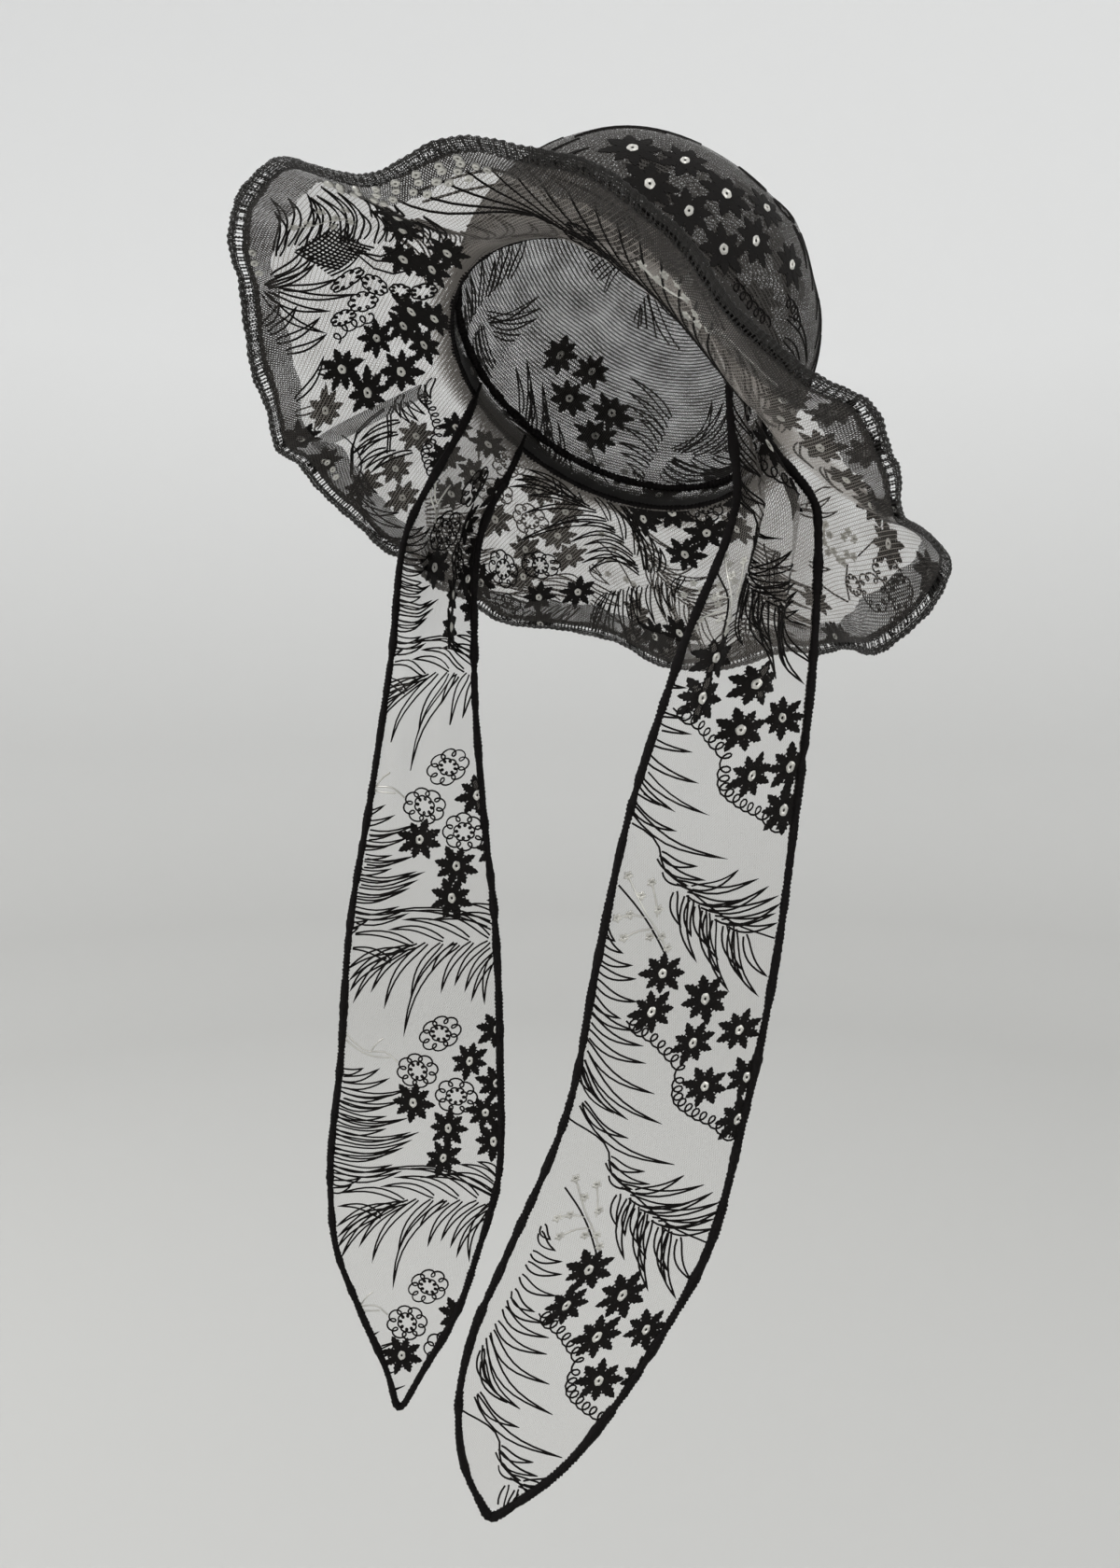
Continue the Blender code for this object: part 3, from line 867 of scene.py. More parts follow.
def hem_place(s, t):
    at = full_turn(s)
    round_ = 2 * math.pi * t
    middle = 1 - HEM_WIDTH / BRIM_WIDTH / 2
    gather = np.sin(GATHERS * at + 1.5 * np.sin(9 * at))
    pinch = 1 + 0.32 * gather + 0.12 * np.sin(2.7 * GATHERS * at)
    uneven = 1 + 0.08 * np.sin(31 * at) + 0.05 * np.sin(83 * at + 1) + 0.06 * gather
    across = middle - np.cos(round_) * HEM_WIDTH / BRIM_WIDTH / 2 * uneven
    lift = np.sin(round_) * HEM_THICK / 2 * pinch
    return lifted(brim_point, at, across, lift)


def hem_flat(s, t):
    return np.stack([full_turn(s) * 0.19, t * 2 * HEM_WIDTH], axis=-1)


RUNG = 0.0022
WEAVE = (0.0007, 0.0009)


def hem_material():
    """Net four layers deep: nearly closed, with a ladder of holes along the middle."""
    material, tree = new_material("gathered hem net")
    cloth = node(tree, "UVMap", uv_map="cloth").outputs[0]
    split = node(tree, "SeparateXYZ", {0: cloth})
    along, across = split.outputs[0], split.outputs[1]
    uneven = noise(tree, cloth, 260.0)
    rung = maths(tree, "MULTIPLY_ADD", uneven, 0.35, stripes(tree, along, RUNG))
    middle = maths(tree, "MULTIPLY_ADD", uneven, 0.14, stripes(tree, across, HEM_WIDTH))
    ladder = [maths(tree, "GREATER_THAN", rung, 0.40), maths(tree, "GREATER_THAN", middle, 0.47)]
    weave = maths(tree, "MINIMUM", stripes(tree, along, WEAVE[0]), stripes(tree, across, WEAVE[1]))
    weave_hole = maths(tree, "GREATER_THAN", weave, 0.30)
    hole = maths(tree, "MAXIMUM", maths(tree, "MULTIPLY", *ladder), weave_hole)
    bump = node(tree, "Bump", {"Height": weave, "Strength": 0.6, "Distance": 0.0005}).outputs[0]
    inputs = {"Base Color": (0.016, 0.0145, 0.013, 1.0), "Roughness": 0.85, "Sheen Weight": 0.1}
    shaded(tree, {**inputs, "Normal": bump, "Alpha": maths(tree, "SUBTRACT", 1.0, hole)})
    return material


brim_hem_band = lay_cloth("brim_hem_band", 1980, 10, hem_place, hem_flat, hem_material())
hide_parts("brim_hem")
print("hem", len(brim_hem_band.data.polygons), "faces")

# %% [markdown]
# Inside the hem runs the turned-over net, a second dark band with an uneven inner edge. Where the brim
# is creased the doubled net shows as a darker strip. The doubling is real, but their near-black thread
# colour, far darker than the brim's own net, is painted shade of the folded hem and of the crease. Both
# are thin cloths of their own, a little above the underside of the brim.

# %% Fold band and crease
FOLD_LIFT = 0.0009


def fold_place(s, t):
    at = full_turn(s)
    inner = 0.815 + 0.018 * np.sin(5 * at + 1) + 0.014 * np.sin(13 * at) + 0.008 * np.sin(41 * at)
    pucker = 0.0004 * np.sin(170 * at + 2 * np.sin(7 * at))
    return lifted(brim_under, at, inner + (BRIM_LAST - inner) * t, FOLD_LIFT + pucker * (1 - t))


def fold_flat(s, t):
    return np.stack([full_turn(s) * 0.185, t * 0.0125], axis=-1)


CREASE_TOP = [(-185, -45), (-168, -38), (-150, -34), (-130, -32), (-110, -33)]
CREASE_LOW = [(-180, -56), (-166, -56), (-150, -52), (-130, -46), (-108, -42)]


def crease_place(s, t):
    ends = np.linspace(0, 1, len(CREASE_TOP))
    top, low = (np.array(edge, float) for edge in (CREASE_TOP, CREASE_LOW))
    x, y = (
        (1 - t) * through(ends, top[:, axis], s) + t * through(ends, low[:, axis], s) for axis in (0, 1)
    )
    return lifted(brim_under, *brim_chart(x, y), FOLD_LIFT + 0.0006 * np.sin(math.pi * t))


def crease_flat(s, t):
    return np.stack([s * 0.078, t * 0.015], axis=-1)


brim_fold_band = lay_cloth("brim_fold_band", 1000, 6, fold_place, fold_flat, folded_net_and_shade_material)
brim_crease = lay_cloth("brim_crease", 60, 12, crease_place, crease_flat, folded_net_and_shade_material)
for piece, flat in ((brim_fold_band, (1.16, 0.0135)), (brim_crease, (0.078, 0.015))):
    print(piece.name, len(piece.data.polygons), "faces")

# %% [markdown]
# Crown, brim and ties meet in one gathered seam at the head opening. It is two closed rows of overlock
# thread, made like the rolled edges: a thick lumpy one a little way up inside the crown, over the cut
# ends of the ties, and a thinner one in the joint itself.

# %% Seam at the opening
SEAM_THICK = 0.0052
SEAM_UP = 0.03
SEAM_INSET = 0.0020


def opening_seam():
    at = np.linspace(-math.pi, math.pi, 700)[:-1]
    random = np.random.default_rng(8)
    line = lifted(crown_point, at, np.full_like(at, SEAM_UP), np.full_like(at, -SEAM_INSET))
    line += random.normal(0, 0.00015, line.shape)
    radius = 0.85 + 0.16 * np.sin(240 * at + 2 * np.sin(6 * at)) + 0.1 * np.sin(31 * at)
    joint = crown_point(at, np.zeros_like(at)) - worn(0, 0, CLOTH / 2)
    radii = [radius, 0.75 * radius]
    piece = strands("crown_seam", [line, joint], SEAM_THICK, edge_thread, 1, radii, True)
    return piece


crown_seam = opening_seam()
print("seam", len(crown_seam.data.polygons), "faces")

# %% [markdown]
# The embroidery is a repeat about 160 mm long, charted in millimetres on the flat cloth. There
# are two strips of it: one with a cluster of flowers, a chain of loops and a fern, and one with clouds,
# flowers and long rows of leaves. Every motif is a small function that returns lines on flat cloth.

# %% Motifs as flat lines


def leaf(base, tip, fat=1.9, bend=0.11):
    """A slim leaf outline, open at its base and pointed at its tip."""
    base, tip = np.array(base, float), np.array(tip, float)
    run = tip - base
    length = np.hypot(*run)
    off = np.array([-run[1], run[0]]) / length
    t = np.linspace(0, 1, 9)[:, None]
    spine = base + run * t + off * bend * length * np.sin(math.pi * t)
    width = off * fat * (0.75 * np.sin(math.pi * t**0.7) + 0.5 * (1 - t) ** 2)
    return np.concatenate([spine + width, (spine - width)[::-1][1:]])


def blade(base, tip, bend=0.1):
    """A single curved stroke."""
    base, tip = np.array(base, float), np.array(tip, float)
    run = tip - base
    off = np.array([-run[1], run[0]])
    t = np.linspace(0, 1, 8)[:, None]
    return base + run * t + off * bend * np.sin(math.pi * t)


def smooth_line(points, spacing):
    """A smooth line through a few points, resampled evenly."""
    points = np.array(points, float)
    way = np.concatenate([[0.0], np.cumsum(np.hypot(*np.diff(points, axis=0).T))])
    even = np.linspace(0, way[-1], max(3, int(way[-1] / spacing)))
    return np.column_stack([through(way, points[:, axis], even) for axis in (0, 1)])


def loop_chain(points, size=2.7, pitch=5.2):
    """A row of written loops along a line."""
    line = smooth_line(points, pitch / 10)
    way = np.arange(len(line)) * 2 * math.pi / 10
    heading = np.gradient(line, axis=0)
    heading /= np.hypot(*heading.T)[:, None]
    side = np.column_stack([-heading[:, 1], heading[:, 0]])
    return line + size * (np.sin(way)[:, None] * heading + (np.cos(way)[:, None] - 1) * side)


def curl(centre, size=2.2, knots=5):
    """A small rosette of loops, as the silver clusters have."""
    way = np.linspace(0, 2 * math.pi, 6 * knots + 1)
    reach = size * (0.62 + 0.38 * np.cos(knots * way))
    return np.column_stack([centre[0] + reach * np.cos(way), centre[1] + reach * np.sin(way)])


def cloud(centre, width, height, turn=0.0, lobes=8):
    """A scalloped outline with a small curl at each notch."""
    curls = 2.4
    roll = 1.0 / (lobes + 1 + curls)
    way = np.linspace(0, 2 * math.pi, 13 * lobes + 1)
    x = (lobes + 1) * roll * np.cos(way) - curls * roll * np.cos((lobes + 1) * way)
    y = (lobes + 1) * roll * np.sin(way) - curls * roll * np.sin((lobes + 1) * way)
    x, y = x * width / 2, y * height / 2
    c, s = math.cos(turn), math.sin(turn)
    return np.column_stack([centre[0] + x * c - y * s, centre[1] + x * s + y * c])


print("motifs are ready")

# %% The two charts of the repeat
REPEAT = 160.0
STRIP = 106.0

FERN_SPINE = [(-46, 382), (-19, 399), (-14, 411), (-2, 420), (12, 430), (28, 440), (50, 448)]
LOOP_PATH = [
    (-26, 330), (-22, 336), (-14, 340), (-4, 348), (4, 357), (4, 363), (6, 371), (17, 380),
    (30, 386), (42, 395),
]
FLOWER_STRIP = dict(
    flowers=[(-12, 305), (-14, 325), (12, 318), (10, 341), (33, 335), (21, 364), (42, 360), (43, 382)],
    leaves=[
        ((-6, 418), (36, 417)), ((0, 424), (32, 427)), ((8, 430), (48, 426)),
        ((16, 436), (48, 435)), ((24, 440), (50, 440)), ((-6, 423), (0, 441)),
        ((0, 425), (11, 459)), ((6, 430), (17, 452)), ((10, 432), (25, 466)),
        ((16, 437), (31, 475)), ((22, 440), (36, 464)), ((28, 443), (47, 478)),
        ((34, 446), (50, 468)), ((-40, 375), (17, 406)), ((-17, 403), (3, 410)),
        ((-18, 405), (8, 417)), ((-14, 412), (0, 420)), ((-47, 343), (4, 384)),
        ((-47, 347), (-14, 382)), ((-47, 350), (-34, 370)), ((-39, 374), (-11, 392)),
        ((-46, 327), (-15, 343)), ((-46, 317), (-29, 329)), ((-46, 302), (-25, 308)),
        ((-46, 285), (-34, 295)), ((-46, 281), (-39, 289)), ((-46, 309), (-22, 320)),
        ((-46, 322), (-20, 335)), ((-46, 335), (-12, 352)), ((-46, 340), (-4, 368)),
        ((-46, 296), (-28, 301)), ((-44, 356), (-22, 379)), ((2, 421), (24, 412)),
        ((12, 431), (42, 421)), ((20, 438), (50, 430)), ((26, 441), (38, 470)),
        ((12, 434), (22, 458)), ((3, 427), (6, 446)),
    ],
    lines=[smooth_line(FERN_SPINE, 6), smooth_line([(-42, 260), (-30, 272), (-21, 283), (-12, 296)], 5)],
    chains=[LOOP_PATH],
    clouds=[],
    curls=[
        (-38, 255), (-26, 258), (-20, 272), (-34, 275), (-40, 277), (-35, 287), (-22, 286),
        (-16, 286), (-12, 292), (-30, 265),
    ],
    stems=[
        [(-38, 255), (-32, 265), (-26, 274), (-18, 284), (-12, 293)],
        [(-26, 258), (-22, 268), (-20, 276)],
        [(-40, 277), (-34, 275), (-26, 276)],
        [(-35, 287), (-28, 283), (-20, 282)],
    ],
)
CLOUD_STRIP = dict(
    flowers=[(46, 363), (30, 382), (47, 396), (41, 414), (47, 432), (-3, 408), (19, 424), (17, 443)],
    leaves=[
        ((-50, 403), (-16, 403)), ((-50, 408), (-20, 411)), ((-50, 413), (-19, 417)),
        ((-50, 419), (-11, 419)), ((-50, 424), (-19, 425)), ((-50, 430), (1, 427)),
        ((-50, 436), (-3, 432)), ((-50, 442), (-12, 438)), ((-50, 447), (-14, 448)),
        ((-50, 454), (-8, 452)), ((-50, 459), (-32, 456)), ((-50, 464), (-38, 461)),
        ((-49, 389), (-34, 387)), ((-49, 394), (-24, 387)), ((-49, 400), (-5, 399)),
        ((50, 466), (-25, 452)), ((13, 468), (-20, 462)), ((50, 465), (4, 456)),
        ((52, 463), (20, 453)), ((52, 458), (27, 447)), ((52, 453), (38, 445)),
        ((-5, 471), (-45, 466)), ((-18, 481), (-45, 474)), ((52, 473), (30, 506)),
        ((40, 470), (20, 496)), ((22, 471), (6, 488)), ((20, 470), (-10, 527)),
        ((3, 470), (-22, 510)), ((-8, 473), (-41, 507)), ((-20, 480), (-43, 500)),
        ((-12, 474), (-45, 487)), ((46, 472), (26, 500)), ((30, 470), (12, 500)),
        ((12, 470), (-6, 505)), ((-2, 471), (-30, 500)), ((-4, 472), (-44, 494)),
        ((48, 471), (38, 508)), ((40, 467), (-2, 450)), ((28, 468), (-12, 456)),
        ((-50, 406), (-10, 407)), ((-50, 416), (-6, 418)), ((-50, 427), (-4, 427)),
        ((-50, 439), (-8, 437)), ((-50, 450), (-10, 450)), ((-50, 397), (-18, 393)),
    ],
    lines=[],
    chains=[],
    clouds=[
        ((12, 365), 26, 20, -0.5), ((-1, 388), 25, 21, 0.2), ((23, 404), 26, 22, 0.4),
        ((12, 365), 13, 10, 0.3), ((-1, 388), 13, 11, 0.9), ((23, 404), 13, 11, 0.1),
    ],
    curls=[],
    stems=[
        [(-45, 366), (-40, 371), (-33, 376), (-20, 377), (-13, 383)],
        [(-47, 368), (-40, 374), (-30, 379), (-18, 380)],
        [(-30, 377), (-26, 371), (-22, 368)],
    ],
)


def strip_lines(strip):
    """All the black lines of a strip, on flat cloth."""
    lines = [leaf(base, tip) for base, tip in strip["leaves"]]
    lines += [np.array(line) for line in strip["lines"]]
    lines += [loop_chain(path) for path in strip["chains"]]
    lines += [cloud(*row) for row in strip["clouds"]]
    return lines


FLOWER_LINES, CLOUD_LINES = strip_lines(FLOWER_STRIP), strip_lines(CLOUD_STRIP)
STRIPS = ((FLOWER_STRIP, FLOWER_LINES), (CLOUD_STRIP, CLOUD_LINES))
print("lines in a repeat", len(FLOWER_LINES) + len(CLOUD_LINES))

# %% [markdown]
# A flower is eight saw-edged petals round a silver knot. One petal starts as a few vertices, spin makes
# eight of it, and an extrusion gives the thickness of raised satin stitch. The knot is a ring spun from
# a small circle, with a hole of one millimetre. Both are stamps: their vertices are copied to every place
# on the chart and carried to the surface with it.

# %% Flower stamp
PETALS = 8
PETAL_SIDE = [
    (2.2, 1.1), (4.0, 2.0), (5.2, 2.5), (5.6, 2.0), (7.0, 2.95), (7.5, 2.0), (8.9, 2.5), (9.4, 1.4),
    (10.6, 1.3),
]
PETAL_TIP = 12.2
HEART_RADIUS = 4.3
FLOWER_THICK = 0.5
KNOT_FAT = 0.95
KNOT_REACH = 1.5


UPWARD = (0, 0, 1)


def spun(bm, geom, steps):
    """Sweeps geom once round the upward axis."""
    bmesh.ops.spin(bm, geom=geom, axis=UPWARD, angle=2 * math.pi, steps=steps, use_merge=True)


def petal_flower():
    bm = bmesh.new()
    right = [bm.verts.new((r, w, 0)) for r, w in PETAL_SIDE]
    tip = bm.verts.new((PETAL_TIP, 0, 0))
    left = [bm.verts.new((r, -w, 0)) for r, w in reversed(PETAL_SIDE)]
    bm.faces.new([tip, *left, *right])
    turn = 2 * math.pi * (PETALS - 1) / PETALS
    whole = bm.verts[:] + bm.edges[:] + bm.faces[:]
    bmesh.ops.spin(bm, geom=whole, axis=UPWARD, angle=turn, steps=PETALS - 1, use_duplicate=True)
    bmesh.ops.create_circle(bm, cap_ends=True, segments=16, radius=HEART_RADIUS)
    bmesh.ops.triangulate(bm, faces=bm.faces)
    bmesh.ops.recalc_face_normals(bm, faces=bm.faces)
    raised = bmesh.ops.extrude_face_region(bm, geom=bm.faces[:], use_keep_orig=True)
    moved = [v for v in raised["geom"] if isinstance(v, bmesh.types.BMVert)]
    bmesh.ops.translate(bm, verts=moved, vec=(0, 0, FLOWER_THICK))
    bmesh.ops.translate(bm, verts=bm.verts, vec=(0, 0, -FLOWER_THICK / 2))
    bmesh.ops.recalc_face_normals(bm, faces=bm.faces)
    return as_arrays(bm)


def silver_ring():
    bm = bmesh.new()
    made = bmesh.ops.create_circle(bm, segments=6, radius=KNOT_FAT)
    bmesh.ops.rotate(bm, verts=made["verts"], matrix=Matrix.Rotation(math.pi / 2, 3, "X"))
    bmesh.ops.translate(bm, verts=made["verts"], vec=(KNOT_REACH, 0, 0))
    spun(bm, bm.verts[:] + bm.edges[:], 14)
    bmesh.ops.recalc_face_normals(bm, faces=bm.faces)
    return as_arrays(bm)


def as_arrays(bm):
    """A stamp's points and triangles. The triangles are sorted, because bmesh may list them in another
    order in the next run."""
    bmesh.ops.triangulate(bm, faces=bm.faces)
    bm.verts.index_update()
    points = np.array([v.co[:] for v in bm.verts])
    corners = [[v.index for v in face.verts] for face in bm.faces]
    faces = sorted(min((a, b, c), (b, c, a), (c, a, b)) for a, b, c in corners)
    bm.free()
    return points, np.array(faces)


FLOWER, RING = petal_flower(), silver_ring()
print("flower", len(FLOWER[1]), "triangles, ring", len(RING[1]))

# %% [markdown]
# Two helpers put the motifs on cloth. Stamping copies a small mesh to many flat places, turns each copy
# a little differently and carries its vertices to the surface. Stitching carries flat lines there, and
# cuts them off where the cloth ends, as the scissors did.

# %% Stamping and stitching onto a cloth
RING_STRETCH = (0.9, 1.2)


def stamp(name, template, spots, chart, surface, limits, material, seed, stretch=(1.0, 1.0)):
    """Copies of a template at flat spots (x, y), carried to the surface and joined as one mesh."""
    random = np.random.default_rng(seed)
    points, faces = template
    all_points, all_faces = [], []
    for number, (x, y) in enumerate(spots):
        turn, size = random.uniform(0, 2 * math.pi), random.uniform(0.92, 1.08)
        c, s = math.cos(turn) * size, math.sin(turn) * size
        way = np.arctan2(points[:, 1], points[:, 0])
        grown = 1 + 0.07 * np.sin(2 * way + turn) + 0.06 * np.sin(5 * way + 7 * turn)
        flat_x = x + (points[:, 0] * c - points[:, 1] * s) * stretch[0] * grown
        flat_y = y + (points[:, 0] * s + points[:, 1] * c) * stretch[1] * grown
        first, second = (np.clip(v, *limit) for v, limit in zip(chart(flat_x, flat_y), limits))
        all_points.append(lifted(surface, first, second, points[:, 2] * MM))
        all_faces.append(faces + number * len(points))
    mesh = bpy.data.meshes.new(name)
    mesh.from_pydata(np.concatenate(all_points), [], np.concatenate(all_faces).tolist())
    return add_piece(name, mesh, material)


def flowers_on(name, spots, chart, surface, limits, seed):
    """Black flowers with their silver centres."""
    return [
        stamp(name + "_flowers", FLOWER, spots, chart, surface, limits, black_thread, seed),
        stamp(name + "_rings", RING, spots, chart, surface, limits, silver_thread, seed, RING_STRETCH),
    ]


def carried(lines, chart, surface, limits):
    """Flat lines carried to a surface and cut off where the cloth ends."""
    found = []
    for line in lines:
        first, second = chart(line[:, 0], line[:, 1])
        inside = np.ones(len(line), bool)
        for values, (low, high) in zip((first, second), limits):
            inside &= (values >= low) & (values <= high)
        start = None
        for index, kept in enumerate([*inside, False]):
            if kept and start is None:
                start = index
            elif not kept and start is not None:
                if index - start > 2:
                    found.append(surface(first[start:index], second[start:index]))
                start = None
    return found


ANY = (-100.0, 100.0)
TIE_LIMITS = ((-0.96, 0.96), (0.005, 0.992))
print("stamping is ready")

# %% [markdown]
# The ties carry one strip each, repeated down their length and cut off by the rolled edge. The crown and
# the brim are cut from wider cloth, where the two strips alternate side by side.

# %% Embroidery of the ties
BLACK_LINE = 0.0011
SILVER_LINE = 0.0011
TIE_REPEATS = (-2, 1)


def repeated(places, low, high, drift):
    """A strip's places again and again, for the repeats from low to high."""
    return [
        np.asarray(place) + np.array([drift * k, REPEAT * k])
        for k in range(low, high + 1)
        for place in places
    ]


def tie_embroidery(name, side, surface, strip, lines, drift, seed):
    chart = tie_chart(side)
    flowers = [tuple(spot) for spot in repeated(strip["flowers"], *TIE_REPEATS, drift)]
    flowers = [spot for spot in flowers if 4 < spot[1] < 592 and abs(chart(*spot)[0]) < 1.06]
    stems = carried(repeated(lines, *TIE_REPEATS, drift), chart, surface, TIE_LIMITS)
    pieces = flowers_on(name, flowers, chart, surface, TIE_LIMITS, seed)
    pieces.append(strands(name + "_stitches", stems, BLACK_LINE, black_thread))
    curls = [curl(spot) for spot in repeated(strip["curls"], *TIE_REPEATS, drift)]
    curls += repeated([smooth_line(stem, 3) for stem in strip["stems"]], *TIE_REPEATS, drift)
    silver = carried(curls, chart, surface, TIE_LIMITS)
    pieces.append(strands(name + "_silver", silver, SILVER_LINE, silver_thread))
    return pieces


tie_left_pieces = tie_embroidery("tie_left", 1, tie_left_cloth, FLOWER_STRIP, FLOWER_LINES, 7.0, 11)
tie_right_pieces = tie_embroidery("tie_right", -1, tie_right_cloth, CLOUD_STRIP, CLOUD_LINES, 0.0, 12)
for piece in tie_left_pieces + tie_right_pieces:
    print(piece.name, len(piece.data.polygons))

# %% [markdown]
# On the brim the cloth was cut in a curve, so the repeat falls in odd places. What shows in the picture
# is charted motif by motif, in millimetres on the flat ring, for the underside and for the upper side.
# At the front the motifs crowd together, and a rule spreads strokes and leaves along the brim there.

# %% Charts of the brim
BRIM_UNDER_CHART = dict(
    flowers=[
        (-190, -34), (-179, -64), (-134, -57), (-112, -54), (-139, -77), (-113, -77), (-94, -74),
        (-82, -79), (-91, -59), (-33, -101), (-49, -95), (-60, -107), (-44, -125), (-34, -138),
        (-71, -70),
    ],
    leaves=[
        ((-150, 2), (-177, -4)), ((-157, -5), (-178, -9)), ((-160, -11), (-180, -14)),
        ((-150, -19), (-176, -19)), ((-148, -16), (-178, -24)), ((-141, -23), (-168, -28)),
        ((-130, -38), (-137, -17)), ((-127, -36), (-132, -16)), ((-124, -34), (-125, -18)),
        ((-121, -42), (-139, -24)), ((-107, -40), (-121, -19)), ((-99, -40), (-113, -27)),
        ((-137, -138), (-132, -99)), ((-136, -136), (-122, -106)), ((-131, -133), (-103, -104)),
        ((-129, -132), (-103, -117)), ((-133, -138), (-103, -130)), ((-133, -139), (-97, -134)),
        ((-126, -140), (-94, -141)), ((-152, -108), (-132, -98)), ((-151, -116), (-128, -107)),
        ((-150, -122), (-132, -120)), ((-149, -127), (-136, -128)), ((-100, -143), (-62, -170)),
        ((-104, -146), (-72, -172)), ((-95, -140), (-71, -161)), ((-88, -138), (-64, -166)),
        ((-80, -131), (-60, -166)), ((-78, -131), (-50, -172)), ((-75, -128), (-47, -165)),
        ((-70, -128), (-54, -146)), ((-66, -122), (-44, -148)), ((-60, -120), (-45, -139)),
        ((-110, -148), (-78, -176)), ((-112, -145), (-88, -166)), ((-55, -115), (-32, -145)),
        ((-40, -112), (-22, -140)), ((-30, -110), (-8, -145)), ((-25, -120), (-5, -155)),
        ((-150, -86), (-126, -72)), ((-168, -84), (-142, -90)),
        ((-18, -125), (2, -158)), ((-10, -130), (12, -165)), ((-50, -140), (-30, -172)),
        ((-40, -145), (-15, -175)), ((-30, -150), (-2, -178)), ((-18, -155), (8, -180)),
    ],
    lines=[
        [(-187, -11), (-175, -27), (-165, -34), (-150, -37), (-139, -38)],
        [(-185, -12), (-173, -28), (-163, -36), (-150, -39), (-137, -40)],
        [(-162, -8), (-152, -20), (-143, -32), (-133, -38)],
        [(-160, -8), (-150, -20), (-141, -31), (-131, -37)],
        [(-80, -128), (-79, -110), (-72, -102), (-62, -100)],
        [(-78, -125), (-74, -113), (-66, -108), (-58, -110)],
        [(-76, -120), (-70, -114), (-60, -113), (-50, -116)],
    ],
    chains=[[(-131, -89), (-124, -90), (-116, -88), (-107, -85)]],
    clouds=[
        ((-103, -98), 19, 12, 0.2), ((-88, -102), 14, 15, 0.0), ((-98, -113), 27, 8, 0.0),
        ((-64, -86), 20, 9, 0.1), ((-119, -98), 15, 8, 0.3), ((-77, -92), 14, 9, 0.4),
        ((72, -128), 22, 18, 0.2), ((86, -120), 17, 14, 0.6), ((78, -140), 15, 12, 0.0),
    ],
    curls=[
        (134, -121), (131, -127), (138, -114), (143, -113), (124, -130), (112, -133), (139, -130),
        (118, -126), (130, -110), (137, -108), (144, -107), (-66, -140), (-70, -146), (-60, -150),
        (-76, -142), (-84, -150), (-92, -152), (-72, -154),
    ],
    stems=[
        [(-92, -152), (-84, -148), (-74, -146), (-64, -142)],
        [(111, -133), (116, -126), (124, -121), (134, -120)],
    ],
)
HATCH_PATCH = dict(x=-101, y=-141, width=26, height=21, strokes=11)
BRIM_UPPER_CHART = dict(
    flowers=[
        (171, -62), (186, -43), (173, -20), (194, -13), (176, 8), (183, 28), (196, 31), (190, -68),
        (157, 114), (127, 110), (118, 92), (-141, -6), (-158, -66), (160, -42),
    ],
    leaves=[
        ((60, -112), (100, -130)), ((66, -118), (98, -136)), ((75, -112), (104, -128)),
        ((85, -110), (108, -134)), ((70, -125), (88, -142)), ((55, -118), (80, -140)),
        ((62, -130), (84, -150)), ((150, -25), (163, -60)), ((152, -50), (162, -88)),
        ((148, -60), (156, -98)), ((70, 100), (95, 99)), ((72, 97), (92, 91)),
        ((70, 131), (85, 134)), ((170, -95), (150, -125)), ((175, -90), (158, -118)),
        ((165, -105), (140, -136)), ((182, -78), (168, -108)), ((-170, -60), (-150, -78)),
        ((-172, -78), (-148, -70)), ((160, -20), (150, 10)), ((165, 0), (156, 30)),
        ((120, -70), (140, -96)), ((112, -78), (134, -102)), ((130, -60), (146, -92)),
        ((104, -86), (126, -106)), ((138, -40), (150, -66)),
    ],
    lines=[
        [(108, -142), (113, -150), (108, -158), (95, -165), (85, -172)],
        [(138, -136), (136, -146), (126, -154), (118, -163)],
        [(141, -135), (139, -148), (130, -158), (122, -168)],
        [(150, -110), (146, -122), (138, -135)],
        [(153, -108), (150, -124), (141, -140)],
        [(72, -150), (73, -165), (70, -178)],
        [(76, -150), (77, -168), (75, -180)],
        [(88, -163), (84, -172), (82, -180)],
        [(16, -141), (28, -142), (40, -138), (50, -139), (57, -143)],
        [(20, -175), (35, -170), (50, -166), (62, -165)],
        [(22, -183), (40, -178), (55, -176), (66, -172)],
        [(96, 150), (84, 149), (73, 143)],
        [(98, 148), (97, 138), (100, 127)],
        [(108, 120), (113, 115), (119, 109)],
        [(75, 98), (80, 90), (88, 86), (94, 86)],
    ],
    chains=[],
    clouds=[
        ((104, -137), 15, 13, 0.0), ((98, -149), 23, 10, 0.1), ((86, -143), 17, 10, 0.3),
        ((111, -149), 13, 13, 0.0), ((120, 134), 23, 16, 0.2), ((127, 122), 19, 11, 0.1),
        ((138, 129), 15, 15, 0.0), ((104, 137), 13, 11, 0.0), ((141, 143), 14, 13, 0.0),
    ],
    curls=[
        (85, 124), (83, 118), (82, 112), (86, 107), (93, 126), (97, 127), (90, 122), (100, 121),
        (105, 121), (98, 112), (101, 109), (105, 112), (88, 113),
    ],
    stems=[
        [(85, 108), (84, 118), (92, 125), (105, 121)],
        [(126, -105), (140, -108), (152, -104), (160, -93), (172, -73)],
    ],
)
HEM_BEADS = [
    (-12, -193), (-6, -190), (0, -194), (5, -189), (10, -193), (15, -188), (20, -192), (25, -187),
    (30, -190), (35, -185), (40, -188), (45, -184), (49, -187), (54, -183), (-122, -152),
    (-127, -147), (-117, -156), (-190, -26), (-192, -20), (-189, -33), (-9, -196), (2, -198),
    (13, -197), (23, -196), (32, -194), (41, -191), (50, -190), (-20, -192), (-16, -188),
    (58, -180), (-16, -195), (8, -186), (28, -182), (38, -181), (46, -178),
]


